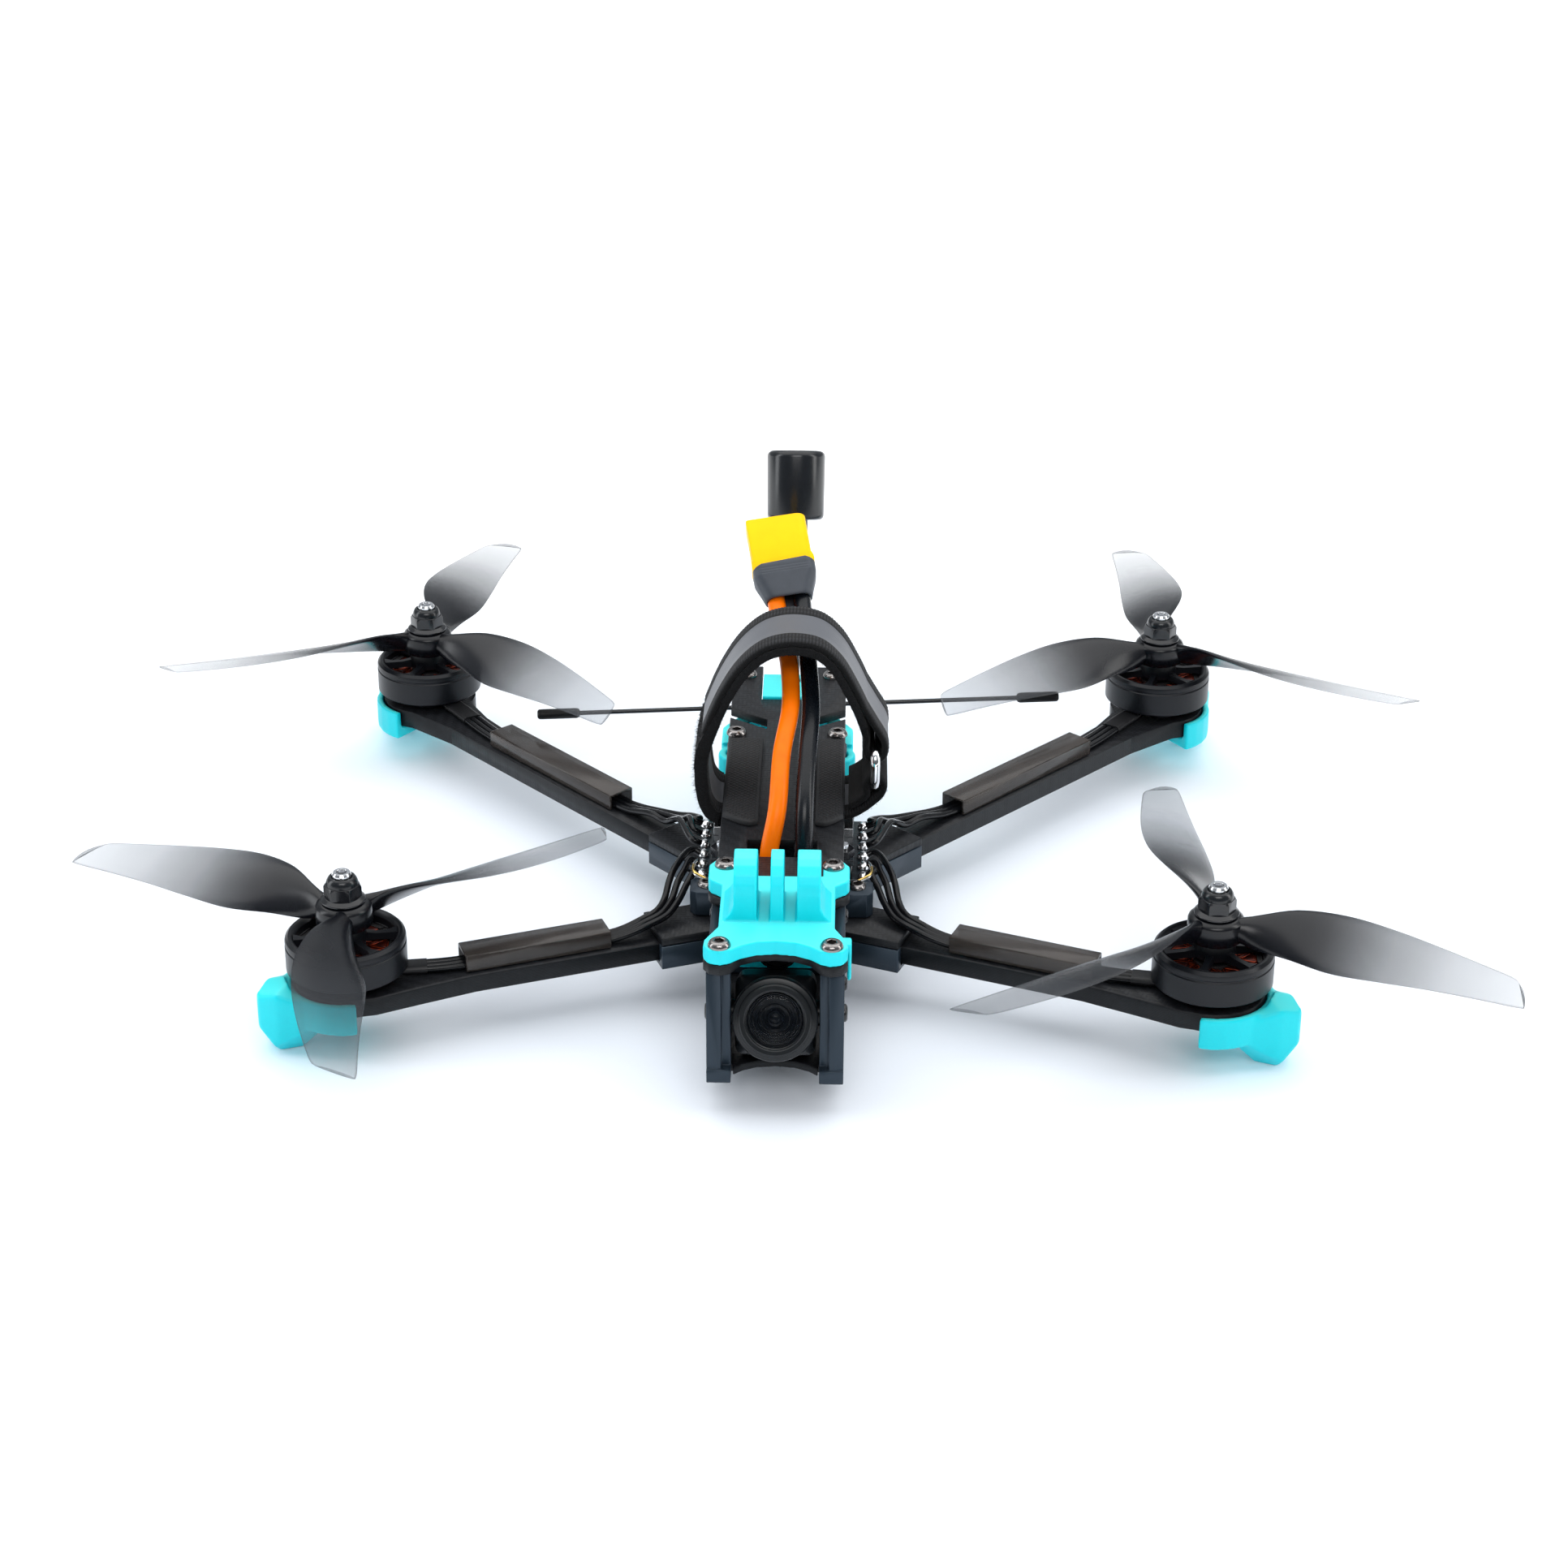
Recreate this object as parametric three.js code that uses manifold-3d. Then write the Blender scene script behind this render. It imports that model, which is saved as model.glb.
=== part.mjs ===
// A ready-to-fly six-inch racing quadcopter: carbon arms clamped in an aluminium core,
// a camera cage at the nose, four motors with three-bladed propellers, printed bumpers and mounts,
// a battery strap and a pair of battery leads.
// Millimetres, +Z up, nose towards -Y. The origin is on the ground, midway between the four motors.
import * as THREE from "three";
import { mergeVertices } from "three/addons/utils/BufferGeometryUtils.js";
import Module from "manifold-3d";

// ---------------------------------------------------------------- driving dimensions
const GAP = 0.3; // clearance between pieces that touch

const MOTOR_X = 105.24;
const MOTOR_Y = 82.91;
const BELL_RADIUS = 14.75;
const BELL_BOTTOM = 19.4;
const BELL_TOP = 28.6;
const SHAFT_RADIUS = 2.4;
const SHAFT_TOP = 45.1;

const PROP_RADIUS = 76.2; // six inches across
const PROP_PITCH = 88.9; // three and a half inches a turn
const BLADE_PLANE = 34.2;
const HUB_RADIUS = 6.85;

const BOTTOM_PLATE = [8.2, 10.2];
const CORE = [10.5, 16.7];
const ARM = [11.7, 16.7];
const MID_PLATE = [17.0, 19.2];
const TOP_PLATE = [38.3, 40.8];
const FINGER_PLATE = [41.1, 44.8];

const ARM_WIDTH = 10;
const CHANNEL_WIDTH = ARM_WIDTH + 2 * GAP;
const TONGUE_WIDTH = 15;
const PAD_RADIUS = 13.2;

// Each arm's centreline on the right-hand side: a point on it, its direction away from the hub,
// where its clamp ends, and where the arm itself ends inside the hub.
const FRONT_ARM = { point: [60.4, -71.15], angle: -21.6, tongue: 30.5, inner: 47.7 };
const REAR_ARM = { point: [62.95, 30.75], angle: 47.3, tongue: 47.7, inner: 73.7 };

const COVER_WIDTH = 7.8;
const COVER_TOP = 21.5;
const COVER_WALL = 0.8;
const FRONT_COVER_LENGTH = 37.2;
const REAR_COVER_LENGTH = 54;

const CAMERA_PIVOT = [0, -106.7, 21.9];
const CAMERA_TILT = 20;

const STRAP_FRONT = -33.5;
const STRAP_REAR = -10.5;
const LEAD_RADIUS = 2.3;

// ---------------------------------------------------------------- solids
const wasm = await Module();
wasm.setup();

// The solid inside a closed three.js geometry, ready to be joined to others or cut by them.
function solidOf(geometry, matrix) {
  const faces = geometry.index ? geometry.toNonIndexed() : geometry;
  const bare = new THREE.BufferGeometry();
  bare.setAttribute("position", faces.getAttribute("position").clone());
  if (matrix) bare.applyMatrix4(matrix);
  const merged = mergeVertices(bare, 1e-4);
  const corners = merged.index.array;
  const kept = [];
  for (let i = 0; i < corners.length; i += 3) {
    const [a, b, c] = corners.slice(i, i + 3);
    if (a !== b && b !== c && c !== a) kept.push(a, b, c);
  }
  return new wasm.Manifold(
    new wasm.Mesh({
      numProp: 3,
      vertProperties: merged.attributes.position.array,
      triVerts: new Uint32Array(kept),
    }),
  );
}

function join(first, ...others) {
  return others.reduce((whole, other) => whole.add(other), first);
}

function cut(first, ...others) {
  return others.reduce((whole, other) => whole.subtract(other), first);
}

function geometryOf(solid) {
  const { vertProperties, triVerts } = solid.getMesh();
  const geometry = new THREE.BufferGeometry();
  geometry.setAttribute("position", new THREE.BufferAttribute(new Float32Array(vertProperties), 3));
  geometry.setIndex(new THREE.BufferAttribute(new Uint32Array(triVerts), 1));
  geometry.computeVertexNormals();
  return geometry;
}

// ---------------------------------------------------------------- outlines
const radians = THREE.MathUtils.degToRad;

function shapeOf(points) {
  return new THREE.Shape(points.map(([x, y]) => new THREE.Vector2(x, y)));
}

// A flat plate: a plan outline between two heights.
function plate(points, [low, high]) {
  const body = new THREE.ExtrudeGeometry(shapeOf(points), { depth: high - low, bevelEnabled: false });
  return solidOf(body, new THREE.Matrix4().makeTranslation(0, 0, low));
}

// A plan outline on one side of the centreline, repeated on the other.
function mirrored(half) {
  return [...half, ...half.toReversed().map(([x, y]) => [-x, y])].filter(
    ([x, y], i, all) => i === 0 || Math.hypot(x - all[i - 1][0], y - all[i - 1][1]) > 1e-6,
  );
}

// An outline in a vertical plane, extruded across it. "x" outlines hold [y, z] and run along X;
// "y" outlines hold [x, z] and run along Y.
function slab(axis, points, from, to) {
  const body = new THREE.ExtrudeGeometry(shapeOf(points), { depth: to - from, bevelEnabled: false });
  const turn = new THREE.Matrix4();
  if (axis === "x") {
    turn.makeBasis(new THREE.Vector3(0, 1, 0), new THREE.Vector3(0, 0, 1), new THREE.Vector3(1, 0, 0));
    turn.setPosition(from, 0, 0);
  } else {
    turn.makeBasis(new THREE.Vector3(1, 0, 0), new THREE.Vector3(0, 0, 1), new THREE.Vector3(0, -1, 0));
    turn.setPosition(0, to, 0);
  }
  return solidOf(body, turn);
}

function box([x0, x1], [y0, y1], [z0, z1]) {
  const middle = new THREE.Matrix4().makeTranslation((x0 + x1) / 2, (y0 + y1) / 2, (z0 + z1) / 2);
  return solidOf(new THREE.BoxGeometry(x1 - x0, y1 - y0, z1 - z0), middle);
}

// A round bar between two points.
function rod(start, end, radius, sides = 16) {
  const a = new THREE.Vector3(...start);
  const b = new THREE.Vector3(...end);
  const along = b.clone().sub(a);
  const turn = new THREE.Quaternion().setFromUnitVectors(
    new THREE.Vector3(0, 1, 0),
    along.clone().normalize(),
  );
  const middle = a.clone().add(b).multiplyScalar(0.5);
  const place = new THREE.Matrix4().compose(middle, turn, new THREE.Vector3(1, 1, 1));
  return solidOf(new THREE.CylinderGeometry(radius, radius, along.length(), sides), place);
}

function upright(x, y, radius, [low, high], sides = 24) {
  return rod([x, y, low], [x, y, high], radius, sides);
}

// A body of revolution about +Z. The profile holds [radius, z], anticlockwise from its lowest point.
function turned(profile, sides = 32) {
  const points = profile.map(([r, z]) => new THREE.Vector2(r, z));
  const upwards = new THREE.Matrix4().makeRotationX(Math.PI / 2);
  return solidOf(new THREE.LatheGeometry(points, sides), upwards);
}

// A round tube along a smooth curve through the points.
function tube(points, radius, steps, sides = 8) {
  const path = new THREE.CatmullRomCurve3(
    points.map((p) => new THREE.Vector3(...p)),
    false,
    "centripetal",
  );
  const section = new THREE.Shape();
  for (let i = 0; i < sides; i += 1) {
    const angle = (2 * Math.PI * i) / sides;
    const [x, y] = [radius * Math.cos(angle), radius * Math.sin(angle)];
    if (i === 0) section.moveTo(x, y);
    else section.lineTo(x, y);
  }
  const body = new THREE.ExtrudeGeometry(section, { steps, extrudePath: path, bevelEnabled: false });
  return solidOf(body);
}

// A skin over a row of sections, each a ring of the same number of points, closed at both ends.
function lofted(sections) {
  const around = sections[0].length;
  const positions = sections.flat(2);
  const faces = [];
  for (let s = 0; s + 1 < sections.length; s += 1) {
    for (let i = 0; i < around; i += 1) {
      const j = (i + 1) % around;
      const [a, b, c, d] = [s * around + i, s * around + j, (s + 1) * around + j, (s + 1) * around + i];
      faces.push(a, b, c, a, c, d);
    }
  }
  const last = (sections.length - 1) * around;
  for (let i = 1; i + 1 < around; i += 1) {
    faces.push(0, i + 1, i);
    faces.push(last, last + i, last + i + 1);
  }
  const body = new THREE.BufferGeometry();
  body.setAttribute("position", new THREE.Float32BufferAttribute(positions, 3));
  body.setIndex(faces);
  const solid = solidOf(body);
  return solid.volume() < 0 ? solidOf(turnedInsideOut(body)) : solid;
}

function turnedInsideOut(geometry) {
  const flipped = geometry.clone();
  const corners = Array.from(geometry.index.array);
  for (let i = 0; i < corners.length; i += 3) {
    [corners[i + 1], corners[i + 2]] = [corners[i + 2], corners[i + 1]];
  }
  flipped.setIndex(corners);
  return flipped;
}

// ---------------------------------------------------------------- arm geometry
// The point a distance out along an arm's centreline from its reference point, and to its left.
function onArm({ point, angle }, out, left = 0) {
  const [c, s] = [Math.cos(radians(angle)), Math.sin(radians(angle))];
  return [point[0] + c * out - s * left, point[1] + s * out + c * left];
}

function strip(arm, from, to, width) {
  const half = width / 2;
  return [
    onArm(arm, from, -half),
    onArm(arm, to, -half),
    onArm(arm, to, half),
    onArm(arm, from, half),
  ];
}

function arm(line, motorY, fairing) {
  const bar = plate(strip(line, -line.inner, 44, ARM_WIDTH), ARM);
  const pad = upright(MOTOR_X, motorY, PAD_RADIUS, ARM, 24);
  const flank = plate(fairing, ARM);
  const centre = upright(MOTOR_X, motorY, 3.5, [0, 30], 10);
  return cut(join(bar, pad, flank), centre);
}

function clampStrip(line, heights, width = TONGUE_WIDTH, reach = 0) {
  return plate(strip(line, -line.inner - 6, -line.tongue + reach, width), heights);
}

// ---------------------------------------------------------------- frame plates
const bothArms = [FRONT_ARM, REAR_ARM];
const acrossX = new THREE.Matrix4().makeScale(-1, 1, 1);

// The same solid on both sides of the centreline.
function onBothSides(make) {
  const right = make();
  return join(right, mirror(right));
}

function mirror(solid) {
  return solidOf(turnedInsideOut(geometryOf(solid)), acrossX);
}

const armCore = cut(
  join(
    box([-16, 16], [-68, 8], CORE),
    onBothSides(() => join(...bothArms.map((line) => clampStrip(line, CORE)))),
  ),
  onBothSides(() =>
    join(
      ...bothArms.map((line) =>
        plate(strip(line, -line.inner - GAP, 0, CHANNEL_WIDTH), [ARM[0] - GAP, CORE[1] + 1]),
      ),
    ),
  ),
  box([-7, 7], [-44, -32], [0, 30]),
);

const midPlate = cut(
  join(
    plate(
      mirrored([
        [0, -70],
        [14, -70],
        [16, -68],
        [16, 10],
        [14, 12],
        [0, 12],
      ]),
      MID_PLATE,
    ),
    onBothSides(() => join(...bothArms.map((line) => clampStrip(line, MID_PLATE)))),
  ),
  box([-6, 6], [-44, -32], [15, 21]),
);

const bottomPlate = plate(
  mirrored([
    [0, -109],
    [4.5, -109.6],
    [7.8, -111.2],
    [10, -113.2],
    [10.1, -111.5],
    [13.1, -111.2],
    [13.1, -75.5],
    [16, -72],
    [16, -1],
    [12, 8],
    [0, 8],
  ]),
  BOTTOM_PLATE,
);

// The nose of the top plate and the printed mount share one outline, down to the waist.
function noseOutline(apex) {
  return [
    [0, apex],
    [4.5, apex - 0.6],
    [8, apex - 2.4],
    [10.6, -118.3],
    [12.8, -119.2],
    [15.4, -118.4],
    [16.8, -116.2],
    [16.6, -113.4],
    [13.6, -106.8],
    [13.6, -86],
    [16.4, -83.6],
    [17, -82.3],
  ];
}

const topPlate = cut(
  plate(
    mirrored([
      ...noseOutline(-111.6),
      [17, -75],
      [15.5, -71],
      [15.5, 18],
      [5.5, 11],
      [5.5, 17],
      [15.5, 24],
      [15.5, 49.5],
      [13.5, 52],
      [7.5, 52],
      [7.5, 30],
      [0, 30],
    ]),
    TOP_PLATE,
  ),
  box([-8.5, 8.8], [-63.3, -54], [36, 42]),
);

// ---------------------------------------------------------------- printed mount with three fingers
const FINGER_AXIS = [-96.9, 51.75];
const FINGER_RADIUS = 7.5;

function finger(x0, x1) {
  const outline = [
    [FINGER_AXIS[0] - FINGER_RADIUS, FINGER_PLATE[1] - 1],
    [FINGER_AXIS[0] + FINGER_RADIUS, FINGER_PLATE[1] - 1],
  ];
  for (let i = 0; i <= 10; i += 1) {
    const angle = (Math.PI * i) / 10;
    outline.push([
      FINGER_AXIS[0] + FINGER_RADIUS * Math.cos(angle),
      FINGER_AXIS[1] + FINGER_RADIUS * Math.sin(angle),
    ]);
  }
  return slab("x", outline, x0, x1);
}

const [fingerFront, fingerBack] = [FINGER_AXIS[0] - FINGER_RADIUS, FINGER_AXIS[0] + FINGER_RADIUS];
const fingerFlare = () =>
  slab(
    "y",
    [
      [9.8, FINGER_PLATE[1] - 1],
      [12.9, FINGER_PLATE[1] - 1],
      [12.6, FINGER_PLATE[1] + 0.2],
      [11.2, FINGER_PLATE[1] + 1.6],
      [10.4, FINGER_PLATE[1] + 3.4],
      [9.8, FINGER_PLATE[1] + 5.2],
    ],
    fingerFront,
    fingerBack,
  );

const fingerMount = cut(
  join(
    plate(
      mirrored([
        ...noseOutline(-113.6),
        [17, -75.8],
        [15.6, -73.4],
        [13.4, -72.6],
        [11.4, -73.4],
        [10.6, -75.4],
        [10.6, -81],
        [0, -81],
      ]),
      FINGER_PLATE,
    ),
    finger(-1.55, 1.55),
    onBothSides(() => join(finger(4.7, 10.2), fingerFlare())),
    box([15, 17.6], [-112.2, -108.6], [41.3, 43.4]),
    box([16.6, 17.6], [-112.2, -108.6], [33.8, 43]),
  ),
  rod([-20, ...FINGER_AXIS], [20, ...FINGER_AXIS], 2.6, 12),
);

// ---------------------------------------------------------------- camera cage and camera
// Profiles of the right-hand cage plate; the left one is its mirror image.
const cagePlate = join(
  cut(
    slab(
      "x",
      [
        [-117.5, 8.9],
        [-78, 8.9],
        [-74, 12.5],
        [-74, 38],
        [-117.5, 38],
      ],
      13.5,
      16.1,
    ),
    slab(
      "x",
      [
        [-101, 15],
        [-86, 15],
        [-82, 20],
        [-82, 28],
        [-86, 32.5],
        [-101, 32.5],
      ],
      13,
      17,
    ),
  ),
  box([12.6, 14], [-117.5, -112.6], [8.9, 38]),
  box([10.4, 13], [-115.5, -112.6], [8.9, 38]),
  box([10.4, 16.1], [-118, -114], [8.9, 12.4]),
  // the rail back to the arm clamp, under the top plate
  box([13.5, 15.4], [-75, -53], [30, 38]),
  slab(
    "x",
    [
      [-58, 34],
      [-52, 31],
      [-47.5, 25],
      [-47.5, 22],
      [-54.6, 22],
      [-58, 28],
    ],
    13.5,
    15.4,
  ),
  // the clamp block beside the electronics
  plate(
    [
      [13.5, -55],
      [21.4, -55],
      [23, -53.4],
      [23, -48],
      [21.4, -46.4],
      [13.5, -46.4],
    ],
    [19.5, 26],
  ),
);

// Camera pieces are drawn level, looking along -Y, about the tilt axis.
const cameraBody = cut(
  join(
    slab(
      "x",
      [
        [-4.4, -9.5],
        [4.4, -9.5],
        [7, -7],
        [7, 7],
        [4.4, 9.5],
        [-4.4, 9.5],
      ],
      -9.5,
      9.5,
    ),
    rod([-13.2, 0, 0], [13.2, 0, 0], 2.4, 12),
  ),
  rod([0, -10, 0], [0, -3, 0], 7.9, 20),
);

const lensProfile = [
  [0, 3.3],
  [7.6, 3.3],
  [7.6, 6.2],
  [9.2, 6.2],
  [10.05, 7.6],
  [10.05, 10.6],
  [9.2, 12],
  [7.4, 12],
  [7, 10.6],
  [4.5, 11.3],
  [0, 11.6],
];
const cameraLens = solidOf(
  new THREE.LatheGeometry(
    lensProfile.map(([r, out]) => new THREE.Vector2(r, out)),
    24,
  ),
  new THREE.Matrix4().makeRotationZ(Math.PI),
);

// ---------------------------------------------------------------- motors and propellers
const stator = turned([
  [2.8, 17],
  [10.2, 17],
  [10.2, 18.8],
  [5, 19.2],
  [5, 20.2],
  [11.8, 20.2],
  [11.8, 25.6],
  [2.8, 25.6],
  [2.8, 17],
], 20);

const bellSpokes = [0, 1, 2, 3, 4, 5].map((i) => {
  const angle = radians(60 * i + 12);
  const spoke = new THREE.BoxGeometry(9.2, 2, 1.5);
  const place = new THREE.Matrix4().makeRotationZ(angle);
  place.multiply(new THREE.Matrix4().makeTranslation(8.8, 0, 27.2));
  return solidOf(spoke, place);
});

const bell = join(
  turned([
    [12.3, BELL_BOTTOM],
    [BELL_RADIUS, BELL_BOTTOM],
    [BELL_RADIUS, 27.5],
    [BELL_RADIUS - 0.9, BELL_TOP],
    [12.3, BELL_TOP],
    [12.3, BELL_BOTTOM],
  ], 28),
  turned([
    [0, 17.4],
    [SHAFT_RADIUS, 17.4],
    [SHAFT_RADIUS, 25.9],
    [5, 25.9],
    [5, 30.7],
    [SHAFT_RADIUS, 30.7],
    [SHAFT_RADIUS, SHAFT_TOP],
    [0, SHAFT_TOP],
  ], 14),
  ...bellSpokes,
);

// Stations out along a blade: [radius, chord, how far the leading edge is ahead of the radius, thickness].
const BLADE_STATIONS = [
  [5.8, 6.6, 3.3, 3.2],
  [10, 8.5, 4.5, 2.5],
  [19, 13.5, 8.4, 1.9],
  [30.5, 17.8, 10.5, 1.6],
  [42, 17.4, 10, 1.4],
  [53.5, 15, 8, 1.2],
  [65, 12, 5, 1.1],
  [74, 9, 1.8, 0.9],
  [PROP_RADIUS, 6, 0.3, 0.7],
];

function bladeSection([radius, chord, lead, thickness]) {
  const pitch = Math.atan2(PROP_PITCH, 2 * Math.PI * radius);
  const camber = 0.05 * chord;
  const upper = [0, 0.18, 0.5, 0.82, 1];
  const lower = [0.82, 0.5, 0.18];
  const point = (share, side) => {
    const bulge = 4 * share * (1 - share);
    const along = lead - chord * share;
    const above = camber * bulge + (side * thickness * Math.sqrt(Math.max(bulge, 0.04))) / 2;
    return [
      radius,
      along * Math.cos(pitch) - above * Math.sin(pitch),
      BLADE_PLANE + along * Math.sin(pitch) + above * Math.cos(pitch),
    ];
  };
  const top = upper.map((share) => point(share, share === 0 || share === 1 ? 0 : 1));
  const bottom = lower.map((share) => point(share, -1));
  return [...top, ...bottom];
}

// A propeller that turns anticlockwise seen from above, with one blade along +X.
const propeller = cut(
  join(
    turned([
      [0, 31],
      [HUB_RADIUS, 31],
      [HUB_RADIUS, 36.4],
      [6.2, 37.2],
      [0, 37.2],
    ], 18),
    ...[0, 120, 240].map((angle) => {
      const turn = new THREE.Matrix4().makeRotationZ(radians(angle));
      return solidOf(geometryOf(lofted(BLADE_STATIONS.map(bladeSection))), turn);
    }),
  ),
  upright(0, 0, SHAFT_RADIUS + GAP, [25, 45], 14),
);

const nutHexagon = [0, 1, 2, 3, 4, 5].map((i) => {
  const angle = radians(60 * i);
  return [4.68 * Math.cos(angle), 4.68 * Math.sin(angle)];
});
const propellerNut = cut(
  join(
    upright(0, 0, 5.5, [37.5, 38.3], 14),
    plate(nutHexagon, [38.3, 41.9]),
    upright(0, 0, 3.9, [41.9, 43.9], 14),
  ),
  upright(0, 0, SHAFT_RADIUS + GAP, [35, 46], 14),
);

// ---------------------------------------------------------------- bumpers
// A bumper is drawn about its motor, pointing along +X, then turned to point off the arm's tip. A low
// band cups the motor's pad between two bearings, and a nose in front of it carries the sole.
const BUMPER_BAND = 15.5;
const BUMPER_FLOOR = [8, 16.4];

function bumper(heading, motorY, [from, to]) {
  const band = [];
  for (let i = 0; i <= 14; i += 1) {
    const angle = radians(from + ((to - from) * i) / 14);
    band.push([BUMPER_BAND * Math.cos(angle), BUMPER_BAND * Math.sin(angle)]);
  }
  const nosePlan = [
    [8, -9.4],
    [13.4, -8.2],
    [19, -5],
    [22.6, -1],
    [22.6, 1],
    [19, 5],
    [13.4, 8.2],
    [8, 9.4],
  ];
  const side = [
    [12.2, 0],
    [18.2, 0],
    [22.8, 6.8],
    [22.8, 15.3],
    [15.3, 18.4],
    [8, 18.4],
    [8, 8],
  ];
  const front = [
    [-2, 0],
    [2, 0],
    [9.6, 9.2],
    [9.6, 14.2],
    [1.5, 18.6],
    [-1.5, 18.6],
    [-9.6, 14.2],
    [-9.6, 9.2],
  ];
  const nose = plate(nosePlan, [0, 20])
    .intersect(slab("y", side, -10, 10))
    .intersect(slab("x", front, 0, 26));
  const hollow = cut(
    join(plate([[-1, 0], ...band], BUMPER_FLOOR), nose),
    upright(0, 0, PAD_RADIUS + GAP + 0.1, [ARM[0] - GAP, 40], 32),
    upright(0, 0, BELL_RADIUS + 0.5, [16.4, 40], 32),
  );
  const turn = new THREE.Matrix4().makeRotationZ(radians(heading));
  turn.setPosition(MOTOR_X, motorY, 0);
  return solidOf(geometryOf(hollow), turn);
}

// ---------------------------------------------------------------- wire covers and motor wires
function wireCover(line, length) {
  const half = COVER_WIDTH / 2;
  const inner = half - COVER_WALL;
  const profile = [
    [-half, 17],
    [-inner, 17],
    [-inner, COVER_TOP - COVER_WALL],
    [inner, COVER_TOP - COVER_WALL],
    [inner, 17],
    [half, 17],
    [half, COVER_TOP],
    [-half, COVER_TOP],
  ];
  const angle = radians(line.angle);
  const place = new THREE.Matrix4().makeBasis(
    new THREE.Vector3(-Math.sin(angle), Math.cos(angle), 0),
    new THREE.Vector3(0, 0, 1),
    new THREE.Vector3(Math.cos(angle), Math.sin(angle), 0),
  );
  const [x, y] = onArm(line, -length / 2);
  place.setPosition(x, y, 0);
  const body = new THREE.ExtrudeGeometry(shapeOf(profile), { depth: length, bevelEnabled: false });
  return solidOf(body, place);
}

// Three wires side by side make one flat ribbon.
function ribbon(points) {
  const path = new THREE.CatmullRomCurve3(
    points.map((p) => new THREE.Vector3(...p)),
    false,
    "centripetal",
  );
  const section = [
    [-2.65, 0],
    [-2.3, -0.8],
    [0, -0.92],
    [2.3, -0.8],
    [2.65, 0],
    [2.3, 0.8],
    [0, 0.92],
    [-2.3, 0.8],
  ];
  const steps = 17;
  const rings = [];
  for (let i = 0; i <= steps; i += 1) {
    const middle = path.getPointAt(i / steps);
    const along = path.getTangentAt(i / steps);
    const across = new THREE.Vector3(-along.y, along.x, 0).normalize();
    const above = new THREE.Vector3().crossVectors(along, across).normalize();
    rings.push(
      section.map(([u, v]) =>
        middle.clone().addScaledVector(across, u).addScaledVector(above, v).toArray(),
      ),
    );
  }
  return lofted(rings);
}

const FRONT_WIRES = [
  [94.9, -81.6, 18.05],
  [90, -80.9, 18.05],
  [...onArm(FRONT_ARM, 21), 18.05],
  [...onArm(FRONT_ARM, 0), 18.05],
  [...onArm(FRONT_ARM, -18.4), 18.05],
  [38.6, -63.3, 19.2],
  [33.6, -61.1, 20.8],
  [29.9, -57.6, 21.4],
  [27.7, -52.2, 22.4],
  [26.4, -47, 24.5],
  [24.9, -42.4, 26.2],
  [23.9, -38.6, 26.2],
];
const REAR_WIRES = [
  [98.9, 74.6, 18.05],
  [95, 69.4, 18.05],
  [...onArm(REAR_ARM, 30), 18.05],
  [...onArm(REAR_ARM, 0), 18.05],
  [...onArm(REAR_ARM, -26.8), 18.05],
  [40.4, 6.2, 18.8],
  [34.6, 0.2, 20.7],
  [30, -4.6, 21.6],
  [26.9, -9.2, 24],
  [24.9, -14, 26.1],
  [23.9, -18.6, 26.2],
];

// ---------------------------------------------------------------- electronics
const POSTS = [
  [15.25, -43.25],
  [-15.25, -43.25],
  [15.25, -12.75],
  [-15.25, -12.75],
];

const escBoard = cut(
  box([-21.5, 21.5], [-45, -11], [23, 24.6]),
  ...POSTS.map(([x, y]) => upright(x, y, 2.9, [20, 28], 8)),
);

const flightController = join(
  box([-18, 18], [-46, -10], [29.4, 31]),
  box([-8, 8], [-36, -20], [31, 32.6]),
  ...POSTS.map(([x, y]) => upright(x, y, 2.5, [19.5, 30], 8)),
);

const videoTransmitter = join(
  box([-10.2, 10.2], [-9.4, 11.6], [20, 22]),
  box([-8.8, 8.8], [-8, 10], [22, 27.5]),
);

const CAPACITOR_HEIGHT = 32.2;
const capacitor = rod([0, -96.4, CAPACITOR_HEIGHT], [0, -76, CAPACITOR_HEIGHT], 5, 24);
const capacitorHolder = cut(
  join(
    box([-9.4, 9.4], [-93, -85], [26, 38]),
    box([-9.4, 9.4], [-96, -93], [33.5, 38]),
  ),
  rod([0, -100, CAPACITOR_HEIGHT], [0, -70, CAPACITOR_HEIGHT], 5.3, 24),
);

// ---------------------------------------------------------------- battery strap, ring and pads
const UPPER_BAR = [23.1, 55.4];
const LOWER_BAR = [23.1, 45.6];
const RING_WIRE = 1.25;

// Cross-section of the strap, [x, z]: it runs under the top plate and arches over the battery's place.
const strapOutline = [
  [26.4, 57.2],
  [23.6, 62.7],
  [19.6, 70],
  [15.6, 77.6],
  [11.5, 82.5],
  [7.7, 85.2],
  [3.2, 85.9],
  [-0.6, 85.3],
  [-5.4, 83],
  [-9.4, 78.8],
  [-13, 73.4],
  [-17.6, 65.4],
  [-20.8, 59],
  [-23.1, 52.3],
  [-22.8, 47.9],
  [-21.5, 42],
  [-19.4, 38.2],
  [-16.8, 36.1],
  [-14, 35.7],
  [14.2, 35.7],
  [17, 36.1],
  [20.6, 38],
  [23.9, 40.7],
  [25.9, 43.4],
  [23.1, 45.6],
  [20, 47],
  [17.8, 44.4],
  [16, 42.2],
  [15.85, 38],
  [-15.85, 38],
  [-16, 41.6],
  [-17.8, 44.6],
  [-18.6, 48.2],
  [-18.7, 52.6],
  [-16.3, 60.6],
  [-12.6, 69.4],
  [-8.4, 76.1],
  [-4, 80],
  [2.8, 81.5],
  [7.4, 80.6],
  [11.1, 77.4],
  [14.6, 71.4],
  [18, 64],
  [20.2, 58],
  [23.1, 55.4],
];

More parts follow.
